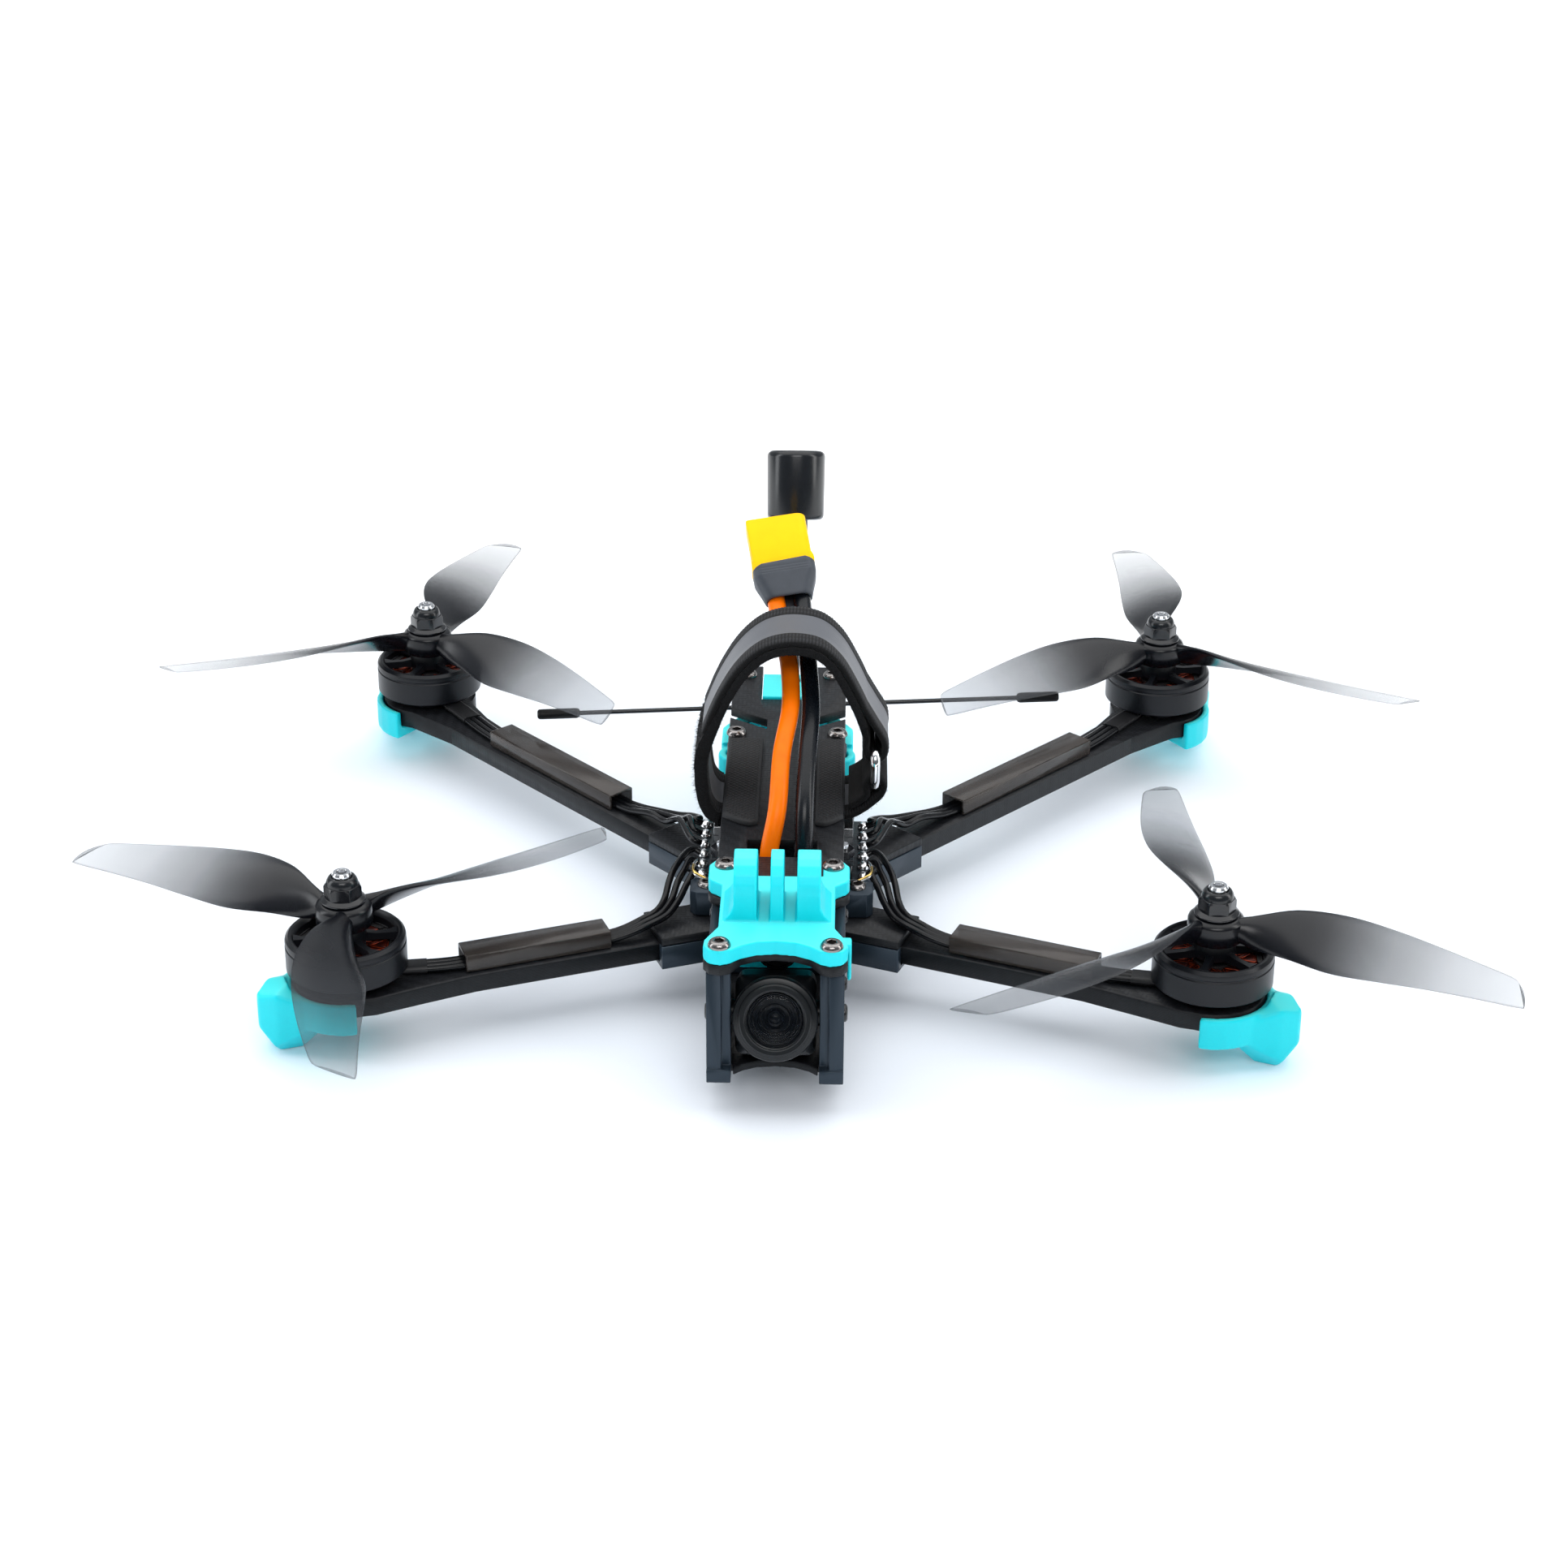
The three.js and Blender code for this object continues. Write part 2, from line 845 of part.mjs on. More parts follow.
const batteryStrap = cut(
  join(
    slab("y", strapOutline, STRAP_FRONT, STRAP_REAR),
    rod([UPPER_BAR[0], STRAP_FRONT, UPPER_BAR[1]], [UPPER_BAR[0], STRAP_REAR, UPPER_BAR[1]], 3.7, 14),
    rod([LOWER_BAR[0], STRAP_FRONT, LOWER_BAR[1]], [LOWER_BAR[0], STRAP_REAR, LOWER_BAR[1]], 3.5, 14),
  ),
  ...[UPPER_BAR, LOWER_BAR].map(([x, z]) => rod([x, -40, z], [x, -4, z], RING_WIRE + GAP, 10)),
);

// Half of the wire ring, from the middle of its lower bar round one end to the middle of its upper bar.
function halfRing(end) {
  const middle = (STRAP_FRONT + STRAP_REAR) / 2;
  const reach = end * 14.2;
  const [x, low] = LOWER_BAR;
  const high = UPPER_BAR[1];
  const route = [
    [middle - end * 0.5, low],
    [middle + reach * 0.4, low],
    [middle + reach - end * 3, low],
    [middle + reach - end * 0.8, low + 0.8],
    [middle + reach, low + 3],
    [middle + reach, high - 3],
    [middle + reach - end * 0.8, high - 0.8],
    [middle + reach - end * 3, high],
    [middle + reach * 0.4, high],
    [middle - end * 0.5, high],
  ];
  return tube(route.map(([y, z]) => [x, y, z]), RING_WIRE, 18, 8);
}

const padLeft = plate(
  [
    [-15.2, -42.6],
    [-11, -46.6],
    [-8.2, -47.3],
    [-6.1, -46.2],
    [-6.1, 2],
    [-15.2, 2],
  ],
  [41.1, 42.7],
);
const padRight = plate(
  [
    [15.2, -42.6],
    [15.2, 2],
    [8.15, 2],
    [8.15, -46.4],
    [10.4, -47.2],
    [12.4, -46.2],
  ],
  [41.1, 42.7],
);

// ---------------------------------------------------------------- tail
const ANTENNA_FOOT = [1, 40.4, 38];
const ANTENNA_LEAN = 20;
const antennaDirection = [0, Math.sin(radians(ANTENNA_LEAN)), Math.cos(radians(ANTENNA_LEAN))];
const alongAntenna = (distance) =>
  ANTENNA_FOOT.map((value, i) => value + antennaDirection[i] * distance);

const ANTENNA_ROD = [
  [-71.2, 54, 24.1],
  [75.8, 66, 26.5],
];

const tailMount = cut(
  join(
    box([-7.2, 7.2], [30.3, 45.6], [29.5, 41.4]),
    slab(
      "x",
      [
        [34, 29.5],
        [34, 25.5],
        [52, 21.5],
        [64.5, 21.5],
        [64.5, 29],
        [58, 31],
        [49, 38],
      ],
      -6,
      7.1,
    ),
    onBothSides(() =>
      join(
        upright(13.4, 7.8, 4.9, [29.6, 35.2], 16),
        plate(
          [
            [12.4, 12],
            [17.6, 11],
            [17.6, 21],
            [9, 36],
            [4, 36],
            [4, 31],
            [7, 31],
            [12.6, 20.4],
          ],
          [30.6, 36.4],
        ),
      ),
    ),
  ),
  upright(13.4, 7.8, 2.8, [25, 45], 12),
  upright(-13.4, 7.8, 2.8, [25, 45], 12),
  rod(ANTENNA_FOOT, alongAntenna(12), 2, 10),
  rod(ANTENNA_ROD[0], ANTENNA_ROD[1], 1, 8),
);

// The aerial is drawn standing on its foot, then leant back.
const ANTENNA_CAP = 47.6;
const ANTENNA_CAP_LENGTH = 18.8;
const antennaProfile = [
  [0, 0.4],
  [1.6, 0.4],
  [1.6, ANTENNA_CAP - 3.4],
  [3.4, ANTENNA_CAP - 3.4],
  [3.4, ANTENNA_CAP],
  [6.9, ANTENNA_CAP],
  [7.75, ANTENNA_CAP + 0.9],
  [7.95, ANTENNA_CAP + ANTENNA_CAP_LENGTH - 1.2],
  [6.9, ANTENNA_CAP + ANTENNA_CAP_LENGTH],
  [0, ANTENNA_CAP + ANTENNA_CAP_LENGTH],
];

function controlAntenna() {
  const [left, right] = ANTENNA_ROD.map((p) => new THREE.Vector3(...p));
  const along = right.clone().sub(left).normalize();
  const inFrom = (end, distance) => end.clone().addScaledVector(along, distance).toArray();
  return join(
    rod(left.toArray(), right.toArray(), 0.65, 6),
    rod(left.toArray(), inFrom(left, 12), 1.45, 8),
    rod(inFrom(right, -12), right.toArray(), 1.45, 8),
  );
}

// ---------------------------------------------------------------- battery leads and connector
const POSITIVE_LEAD = [
  [-4.2, -45.5, 25],
  [-4.2, -50, 25.6],
  [-3.8, -56.4, 29.4],
  [-3.3, -59.8, 35],
  [-2.9, -60, 40.8],
  [-1.1, -56.4, 50],
  [-0.3, -45, 59.8],
  [1.6, -32, 67.2],
  [0.9, -20, 73.4],
  [-1.4, -8, 77.9],
  [-2.7, -0.4, 81.4],
];
const NEGATIVE_LEAD = [
  [4.6, -45.5, 25],
  [4.6, -50, 25.6],
  [5, -56.4, 29.4],
  [5.4, -59.8, 35],
  [5.5, -60, 40.8],
  [5.6, -56.4, 50],
  [6.1, -45, 59.8],
  [6.7, -32, 66.6],
  [5.9, -20, 72.8],
  [4.6, -8, 77.7],
  [3.8, 0.5, 82.2],
];

// The connector's own frame: out along the leads, across its width, and out of its wide face.
const plugFoot = new THREE.Vector3(0.5, 0.5, 82.2);
const plugOut = new THREE.Vector3(-0.18, 0.742, 0.646).normalize();
const plugAcross = new THREE.Vector3(1, 0, 0).addScaledVector(plugOut, -plugOut.x).normalize();
const plugFace = new THREE.Vector3().crossVectors(plugAcross, plugOut);

// A rounded box along the plug's axis. Stations are [distance out, width, depth]; the corner on the
// positive side of the wide face can be cut away by a bevel.
function plugBody(stations, round, bevel = round) {
  return lofted(
    stations.map(([out, width, depth]) => {
      const [a, b] = [width / 2, depth / 2];
      return [
        [-a + round, -b],
        [a - round, -b],
        [a, -b + round],
        [a, b - bevel],
        [a - bevel, b],
        [-a + round, b],
        [-a, b - round],
        [-a, -b + round],
      ].map(([u, v]) =>
        plugFoot
          .clone()
          .addScaledVector(plugOut, out)
          .addScaledVector(plugAcross, u)
          .addScaledVector(plugFace, v)
          .toArray(),
      );
    }),
  );
}

const connectorCap = plugBody(
  [
    [0, 12.6, 7.8],
    [3.2, 14.4, 8.6],
    [5.2, 16, 9.4],
    [9.6, 16.6, 9.8],
  ],
  2,
);
const connectorBody = plugBody(
  [
    [9.9, 15.6, 8],
    [22.9, 15.6, 8],
  ],
  0.6,
  2.2,
);

// ---------------------------------------------------------------- colours
const COLOURS = {
  carbon: ["#1b1c1f", 0.55, 0.0],
  slate: ["#36424e", 0.42, 0.85],
  cyan: ["#19e3ea", 0.45, 0.0],
  motor: ["#17181a", 0.35, 0.7],
  copper: ["#8a3a24", 0.4, 0.8],
  blade: ["#4a4d52", 0.15, 0.0],
  nut: ["#101113", 0.35, 0.6],
  cover: ["#3a332e", 0.25, 0.0],
  wire: ["#0e0f11", 0.3, 0.0],
  board: ["#15181c", 0.5, 0.0],
  can: ["#22262b", 0.4, 0.3],
  camera: ["#0d0e10", 0.35, 0.0],
  lens: ["#050608", 0.08, 0.0],
  strap: ["#1a1b1d", 0.9, 0.0],
  chrome: ["#d9dde2", 0.12, 1.0],
  rubber: ["#1a1a1b", 0.85, 0.0],
  antenna: ["#101317", 0.2, 0.0],
  orange: ["#ff6a00", 0.35, 0.0],
  lead: ["#0c0d0f", 0.3, 0.0],
  yellow: ["#ffb800", 0.4, 0.0],
  grey: ["#3c4046", 0.5, 0.0],
};

function materialOf(colour) {
  const [color, roughness, metalness] = COLOURS[colour];
  return new THREE.MeshStandardMaterial({ color, roughness, metalness });
}

function meshOf(name, solid, colour) {
  const mesh = new THREE.Mesh(geometryOf(solid), materialOf(colour));
  mesh.name = name;
  return mesh;
}

// ---------------------------------------------------------------- assembly
const drone = new THREE.Group();
drone.name = "racing_drone";

const frame = new THREE.Group();
drone.add(frame);
frame.add(meshOf("bottom_plate", bottomPlate, "carbon"));
frame.add(meshOf("arm_core", armCore, "slate"));
frame.add(meshOf("mid_plate", midPlate, "carbon"));
frame.add(meshOf("top_plate", topPlate, "carbon"));
frame.add(meshOf("finger_mount", fingerMount, "cyan"));

// Outer flank of each arm, where it widens into the motor's pad.
const FRONT_FAIRING = [
  [58.6, -75.8],
  [58.6, -71],
  [100, -80],
  [101, -95.2],
  [96.8, -94.1],
  [87.2, -88.9],
  [74, -82],
];
const REAR_FAIRING = [
  [80, 41.9],
  [92, 56],
  [109.4, 70.6],
  [104, 80],
  [96, 80],
  [92.2, 76.6],
  [87, 67],
  [74, 50],
];

// Front and rear pieces of one side; the left-hand side mirrors the right.
const ends = [
  {
    end: "front",
    motorY: -MOTOR_Y,
    arm: arm(FRONT_ARM, -MOTOR_Y, FRONT_FAIRING),
    bumper: bumper(FRONT_ARM.angle, -MOTOR_Y, [-84, 84]),
    cover: wireCover(FRONT_ARM, FRONT_COVER_LENGTH),
    wires: ribbon(FRONT_WIRES),
  },
  {
    end: "rear",
    motorY: MOTOR_Y,
    arm: arm(REAR_ARM, MOTOR_Y, REAR_FAIRING),
    bumper: bumper(REAR_ARM.angle, MOTOR_Y, [-106, 84]),
    cover: wireCover(REAR_ARM, REAR_COVER_LENGTH),
    wires: ribbon(REAR_WIRES),
  },
];

// Which way each propeller turns seen from above, and how far its first blade is turned from +X.
const PROPELLERS = {
  front_left: { turns: "clockwise", blade: 35 },
  front_right: { turns: "anticlockwise", blade: 97 },
  rear_left: { turns: "anticlockwise", blade: 80 },
  rear_right: { turns: "clockwise", blade: 91 },
};

for (const { end, motorY, ...pieces } of ends) {
  for (const side of ["left", "right"]) {
    const corner = `${end}_${side}`;
    const quarter = new THREE.Group();
    quarter.scale.x = side === "left" ? -1 : 1;
    drone.add(quarter);
    quarter.add(meshOf(`arm_${corner}`, pieces.arm, "carbon"));
    quarter.add(meshOf(`bumper_${corner}`, pieces.bumper, "cyan"));
    quarter.add(meshOf(`wire_cover_${corner}`, pieces.cover, "cover"));
    quarter.add(meshOf(`motor_wires_${corner}`, pieces.wires, "wire"));

    const motor = new THREE.Group();
    motor.position.set(side === "left" ? -MOTOR_X : MOTOR_X, motorY, 0);
    drone.add(motor);
    motor.add(meshOf(`motor_stator_${corner}`, stator, "copper"));
    motor.add(meshOf(`motor_bell_${corner}`, bell, "motor"));
    motor.add(meshOf(`propeller_nut_${corner}`, propellerNut, "nut"));
    const blades = meshOf(`propeller_${corner}`, propeller, "blade");
    blades.rotation.z = radians(PROPELLERS[corner].blade);
    blades.scale.y = PROPELLERS[corner].turns === "clockwise" ? -1 : 1;
    motor.add(blades);
  }
}

for (const side of ["left", "right"]) {
  const half = new THREE.Group();
  half.scale.x = side === "left" ? -1 : 1;
  frame.add(half);
  half.add(meshOf(`cage_plate_${side}`, cagePlate, "slate"));
  half.add(meshOf(`rear_standoff_${side}`, upright(13.4, 7.8, 2.5, [19.5, 38], 12), "slate"));
}

const camera = new THREE.Group();
camera.position.set(...CAMERA_PIVOT);
camera.rotation.x = radians(-CAMERA_TILT);
camera.add(meshOf("camera_body", cameraBody, "camera"));
camera.add(meshOf("camera_lens", cameraLens, "lens"));
drone.add(camera);

const electronics = new THREE.Group();
drone.add(electronics);
electronics.add(meshOf("esc_board", escBoard, "board"));
electronics.add(meshOf("flight_controller", flightController, "board"));
electronics.add(meshOf("video_transmitter", videoTransmitter, "can"));
electronics.add(meshOf("capacitor", capacitor, "can"));
electronics.add(meshOf("capacitor_holder", capacitorHolder, "cyan"));

const battery = new THREE.Group();
drone.add(battery);
battery.add(meshOf("battery_strap", batteryStrap, "strap"));
battery.add(meshOf("strap_ring", join(halfRing(-1), halfRing(1)), "chrome"));
battery.add(meshOf("battery_pad_left", padLeft, "rubber"));
battery.add(meshOf("battery_pad_right", padRight, "rubber"));
battery.add(meshOf("lead_positive", tube(POSITIVE_LEAD, LEAD_RADIUS, 20), "orange"));
battery.add(meshOf("lead_negative", tube(NEGATIVE_LEAD, LEAD_RADIUS, 20), "lead"));
battery.add(meshOf("connector_cap", connectorCap, "grey"));
battery.add(meshOf("battery_connector", connectorBody, "yellow"));

const tail = new THREE.Group();
drone.add(tail);
tail.add(meshOf("tail_mount", tailMount, "cyan"));
const aerial = meshOf("video_antenna", turned(antennaProfile, 24), "antenna");
aerial.position.set(...ANTENNA_FOOT);
aerial.rotation.x = radians(-ANTENNA_LEAN);
tail.add(aerial);
tail.add(meshOf("control_antenna", controlAntenna(), "antenna"));

export default drone;
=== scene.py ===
"""Looks of the racing drone: surfaces, soft pieces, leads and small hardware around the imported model.

Lengths are written in millimetres, in the model's own frame: +Z up, nose towards -Y, origin on the ground
midway between the motors. They are scaled to metres when a piece is made.
"""

import math
import random

import bmesh
import bpy
from mathutils import Matrix, Vector


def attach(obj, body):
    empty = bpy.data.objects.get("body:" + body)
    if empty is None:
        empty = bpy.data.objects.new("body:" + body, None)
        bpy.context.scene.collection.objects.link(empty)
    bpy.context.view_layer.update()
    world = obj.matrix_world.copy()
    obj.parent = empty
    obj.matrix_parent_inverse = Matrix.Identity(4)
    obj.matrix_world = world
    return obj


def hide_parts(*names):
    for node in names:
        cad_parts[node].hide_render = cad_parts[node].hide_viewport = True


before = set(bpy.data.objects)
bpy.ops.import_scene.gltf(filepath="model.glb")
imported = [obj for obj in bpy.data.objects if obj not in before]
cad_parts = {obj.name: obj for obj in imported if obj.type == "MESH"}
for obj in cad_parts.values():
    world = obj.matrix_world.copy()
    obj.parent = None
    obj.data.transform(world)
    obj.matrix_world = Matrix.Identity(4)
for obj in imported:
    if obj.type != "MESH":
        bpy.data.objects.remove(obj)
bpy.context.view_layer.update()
random.seed(7)

MM = 0.001
SHARP_EDGE = math.radians(32)
CORNERS = ("front_left", "front_right", "rear_left", "rear_right")
MOTOR_X, MOTOR_Y = 105.24, 82.91
PROP_RADIUS = 76.2
FRONT_ARM = {"point": (60.4, -71.15), "angle": -21.6}
REAR_ARM = {"point": (62.95, 30.75), "angle": 47.3}
STRAP_FRONT, STRAP_REAR = -33.5, -10.5
CAMERA_PIVOT, CAMERA_TILT = Vector((0, -106.7, 21.9)), 20


def placed(name, data):
    """A new object in the scene."""
    obj = bpy.data.objects.new(name, data)
    bpy.context.scene.collection.objects.link(obj)
    return obj


def spin(degrees):
    return Matrix.Rotation(math.radians(degrees), 4, "Z")


def side_of(corner):
    return -1 if corner.endswith("left") else 1


# ---------------------------------------------------------------- camera, light and floor
def aim(obj, towards, roll=0.0):
    """Turns a camera or light to look at a point, with a roll about its own axis in degrees."""
    turn = (Vector(towards) - obj.location).to_track_quat("-Z", "Y").to_matrix()
    obj.rotation_euler = (turn @ Matrix.Rotation(math.radians(roll), 3, "Z")).to_euler()


def make_camera():
    data = bpy.data.cameras.new("view")
    data.sensor_width = 36
    data.lens = 73.8
    data.clip_start, data.clip_end = 0.01, 60
    camera = placed("view", data)
    camera.location = (0.014915, -0.76573, 0.4035)
    elevation, side = math.radians(26.01), math.radians(1.16)
    back = Vector((
        math.sin(side) * math.cos(elevation),
        -math.cos(side) * math.cos(elevation),
        math.sin(elevation),
    ))
    aim(camera, camera.location - back, 0.32)
    bpy.context.scene.camera = camera


def soft_light(name, place, towards, size, power, colour):
    data = bpy.data.lights.new(name, "AREA")
    data.shape = "RECTANGLE"
    data.size, data.size_y = size
    data.energy = power
    data.color = colour
    light = placed(name, data)
    light.location = place
    aim(light, towards)


def make_studio():
    scene = bpy.context.scene
    scene.view_settings.view_transform = "Standard"
    world = bpy.data.worlds.new("studio")
    scene.world = world
    world.use_nodes = True
    nodes, links = world.node_tree.nodes, world.node_tree.links
    where = nodes.new("ShaderNodeTexCoord")
    parts = nodes.new("ShaderNodeSeparateXYZ")
    links.new(where.outputs["Generated"], parts.inputs[0])
    # the room is white overhead and behind the object, and dim on the camera's side
    level = None
    for axis, share, base in (("Y", 0.18, 0.24), ("Z", 0.38, None)):
        step = nodes.new("ShaderNodeMath")
        step.operation = "MULTIPLY_ADD"
        links.new(parts.outputs[axis], step.inputs[0])
        step.inputs[1].default_value = share
        if level is None:
            step.inputs[2].default_value = base
        else:
            links.new(level, step.inputs[2])
        level = step.outputs[0]
    # past the edge of the floor the camera sees a white wall, which lights nothing
    seen = nodes.new("ShaderNodeLightPath")
    wall = nodes.new("ShaderNodeMath")
    wall.operation = "MAXIMUM"
    links.new(level, wall.inputs[0])
    links.new(seen.outputs["Is Camera Ray"], wall.inputs[1])
    background = nodes["Background"]
    background.inputs["Color"].default_value = (0.9, 0.95, 1.0, 1)
    links.new(wall.outputs[0], background.inputs["Strength"])
    soft_light("overhead", (0.0, 0.2, 1.2), (0, 0, 0), (2.3, 1.7), 20, (1.0, 0.985, 0.965))
    soft_light("front_bank", (0.1, -1.25, 1.1), (0, 0, 0.03), (1.0, 0.5), 8.5, (1.0, 0.99, 0.98))
    soft_light("left_bank", (-1.1, -0.1, 0.45), (0, 0, 0.05), (0.3, 0.9), 4, (0.95, 0.975, 1.0))
    soft_light("right_bank", (1.1, -0.1, 0.5), (0, 0, 0.05), (0.3, 0.9), 4, (1.0, 0.99, 0.97))

    floor_mesh = bpy.data.meshes.new("floor")
    side = 9
    plan = [(-side, -side, 0), (side, -side, 0), (side, side, 0), (-side, side, 0)]
    floor_mesh.from_pydata(plan, [], [(0, 1, 2, 3)])
    floor = placed("floor", floor_mesh)
    # painted shade and light: the floor's colour is darker and bluer near the drone, and further out it
    # turns near white and glows
    paint = Surface("floor_paper", (0.8, 0.85, 0.92), 0.6, Specular_IOR_Level=0.2)
    painted_light_far = paint.between(paint.reach(), 0.0, 1.0, 0.1, 0.34)
    grain = paint.noise(900, 2)
    near = paint.blend(grain, (0.8, 0.85, 0.925), (0.815, 0.865, 0.935))
    paint.shader_colour(paint.blend(painted_light_far, near, (0.97, 0.98, 0.99)))
    paint.feed(paint.shader.inputs["Emission Color"], (1.0, 1.0, 1.0))
    paint.feed(paint.shader.inputs["Emission Strength"], paint.times(painted_light_far, 0.45))
    paint.bump(grain, 0.01)
    floor_mesh.materials.append(paint.material)


# ---------------------------------------------------------------- materials
class Surface:
    """A Principled material, with short ways to put nodes in front of it. Noise scales count per metre."""

    def __init__(self, name, colour, roughness, **fixed):
        self.material = bpy.data.materials.new(name)
        self.material.use_nodes = True
        self.tree = self.material.node_tree
        self.shader = self.tree.nodes["Principled BSDF"]
        self.shader.inputs["Base Color"].default_value = (*colour, 1)
        self.shader.inputs["Roughness"].default_value = roughness
        for name_, value in fixed.items():
            self.shader.inputs[name_.replace("_", " ")].default_value = value
        self.normal = None
        self.coordinates = None

    def node(self, kind, **settings):
        made = self.tree.nodes.new("ShaderNode" + kind)
        for key, value in settings.items():
            setattr(made, key, value)
        return made

    def feed(self, socket, value):
        if isinstance(value, bpy.types.NodeSocket):
            self.tree.links.new(value, socket)
        elif isinstance(value, tuple) and len(value) == 3 and socket.type == "RGBA":
            socket.default_value = (*value, 1)
        else:
            socket.default_value = value

    def place(self):
        if self.coordinates is None:
            self.coordinates = self.node("TexCoord").outputs["Object"]
        return self.coordinates

    def axes(self, vector=None):
        parts = self.node("SeparateXYZ")
        self.feed(parts.inputs[0], vector or self.place())
        return parts.outputs

    def reach(self):
        """The distance from the Z axis."""
        x, y, _ = self.axes()
        return self.math("SQRT", self.math("ADD", self.times(x, x), self.times(y, y)))

    def facing(self):
        """The surface's own direction, as X, Y and Z."""
        return self.axes(self.node("NewGeometry").outputs["Normal"])

    def math(self, operation, *values):
        made = self.node("Math", operation=operation)
        for socket, value in zip(made.inputs, values):
            self.feed(socket, value)
        return made.outputs[0]

    def times(self, a, b):
        return self.math("MULTIPLY", a, b)

    def noise(self, scale, detail=3.0, rough=0.55):
        made = self.node("TexNoise")
        self.feed(made.inputs["Vector"], self.place())
        made.inputs["Scale"].default_value = scale
        made.inputs["Detail"].default_value = detail
        made.inputs["Roughness"].default_value = rough
        return made.outputs["Fac"]

    def ridges(self, along, pitch):
        """A 0 to 1 wave along a coordinate, one ridge for each pitch in millimetres."""
        turns = self.times(along, 2 * math.pi / (pitch * MM))
        return self.math("MULTIPLY_ADD", self.math("SINE", turns), 0.5, 0.5)

    def between(self, value, low, high, start=0.0, end=1.0):
        made = self.node("MapRange")
        self.feed(made.inputs["Value"], value)
        for name, number in zip(("From Min", "From Max", "To Min", "To Max"), (start, end, low, high)):
            made.inputs[name].default_value = number
        return made.outputs[0]

    def blend(self, share, low, high):
        made = self.node("Mix", data_type="RGBA")
        colours = [s for s in made.inputs if s.type == "RGBA"]
        self.feed(made.inputs[0], share)
        self.feed(colours[0], low)
        self.feed(colours[1], high)
        return [s for s in made.outputs if s.type == "RGBA"][0]

    def ramp(self, share, *stops):
        made = self.node("ValToRGB")
        self.feed(made.inputs[0], share)
        band = made.color_ramp.elements
        while len(band) < len(stops):
            band.new(0.5)
        for stop, (where, colour) in zip(band, stops):
            stop.position = where
            stop.color = (*colour, 1) if len(colour) == 3 else colour
        return made.outputs["Color"]

    def shader_colour(self, value):
        self.feed(self.shader.inputs["Base Color"], value)

    def roughness(self, share, low, high):
        self.feed(self.shader.inputs["Roughness"], self.between(share, low, high))

    def bump(self, height, depth):
        """Raises the surface by height, 0 to 1, times a depth in millimetres."""
        made = self.node("Bump")
        made.inputs["Strength"].default_value = 1.0
        made.inputs["Distance"].default_value = depth * MM
        self.feed(made.inputs["Height"], height)
        if self.normal is not None:
            self.feed(made.inputs["Normal"], self.normal)
        self.normal = made.outputs[0]
        self.feed(self.shader.inputs["Normal"], self.normal)

    def finish(self, share, low, high, gloss, smooth, rough, *bumps):
        """The material, its colour and roughness each between two values, with bumps as (height, depth)."""
        self.shader_colour(self.blend(share, low, high))
        self.roughness(gloss, smooth, rough)
        for height, depth in bumps:
            self.bump(height, depth)
        return self.material


def carbon(name, turn=0.0):
    """Twill-woven carbon plate: a bumpy weave on its faces, thin plies along its cut edges."""
    s = Surface(name, (0.012, 0.013, 0.016), 0.42, Specular_IOR_Level=0.24)
    turned = s.node("VectorRotate", rotation_type="Z_AXIS")
    s.feed(turned.inputs["Vector"], s.place())
    turned.inputs["Angle"].default_value = math.radians(turn)
    x, y, z = s.axes(turned.outputs[0])
    tow = 1.15 * MM
    u, v = s.math("DIVIDE", x, tow), s.math("DIVIDE", y, tow)
    step = s.math("ADD", s.math("FLOOR", u), s.math("FLOOR", v))
    over = s.math("LESS_THAN", s.math("FRACT", s.times(step, 0.25)), 0.5)
    hump_u = s.math("ABSOLUTE", s.math("SINE", s.times(u, math.pi)))
    hump_v = s.math("ABSOLUTE", s.math("SINE", s.times(v, math.pi)))
    across = s.times(over, hump_u)
    down = s.times(s.math("SUBTRACT", 1.0, over), hump_v)
    weave = s.math("ADD", across, down)
    upright = s.math("ABSOLUTE", s.facing()[2])
    face = s.math("GREATER_THAN", upright, 0.6)
    plies = s.ridges(z, 0.32)
    mottled = s.noise(420, 4)
    tone = s.math("MULTIPLY_ADD", over, 0.35, s.times(mottled, 0.65))
    woven = s.blend(tone, (0.005, 0.0055, 0.007), (0.014, 0.0155, 0.0185))
    cut = s.blend(s.times(plies, mottled), (0.003, 0.004, 0.005), (0.014, 0.016, 0.02))
    return s.finish(face, cut, woven, s.math("MULTIPLY_ADD", weave, 0.5, s.times(mottled, 0.5)), 0.52, 0.34,
        (s.times(face, weave), 0.03), (s.times(s.math("SUBTRACT", 1.0, face), plies), 0.02))


def slate_aluminium():
    s = Surface("slate_aluminium", (0.02, 0.032, 0.047), 0.36, Metallic=0.3, Specular_IOR_Level=0.32)
    grain = s.noise(6000, 3)
    patch = s.noise(60, 2)
    return s.finish(patch, (0.016, 0.027, 0.04), (0.023, 0.037, 0.053), grain, 0.28, 0.4, (grain, 0.004))


def edge_highlight_paint():
    """The chamfer along the slate pieces' edges, painted brighter than their faces as a painted edge
    highlight.
    """
    s = Surface("edge_highlight_paint", (0.09, 0.115, 0.145), 0.26, Metallic=0.8)
    grain = s.noise(3000, 2)
    return s.finish(grain, (0.07, 0.092, 0.118), (0.12, 0.15, 0.185), grain, 0.18, 0.3)


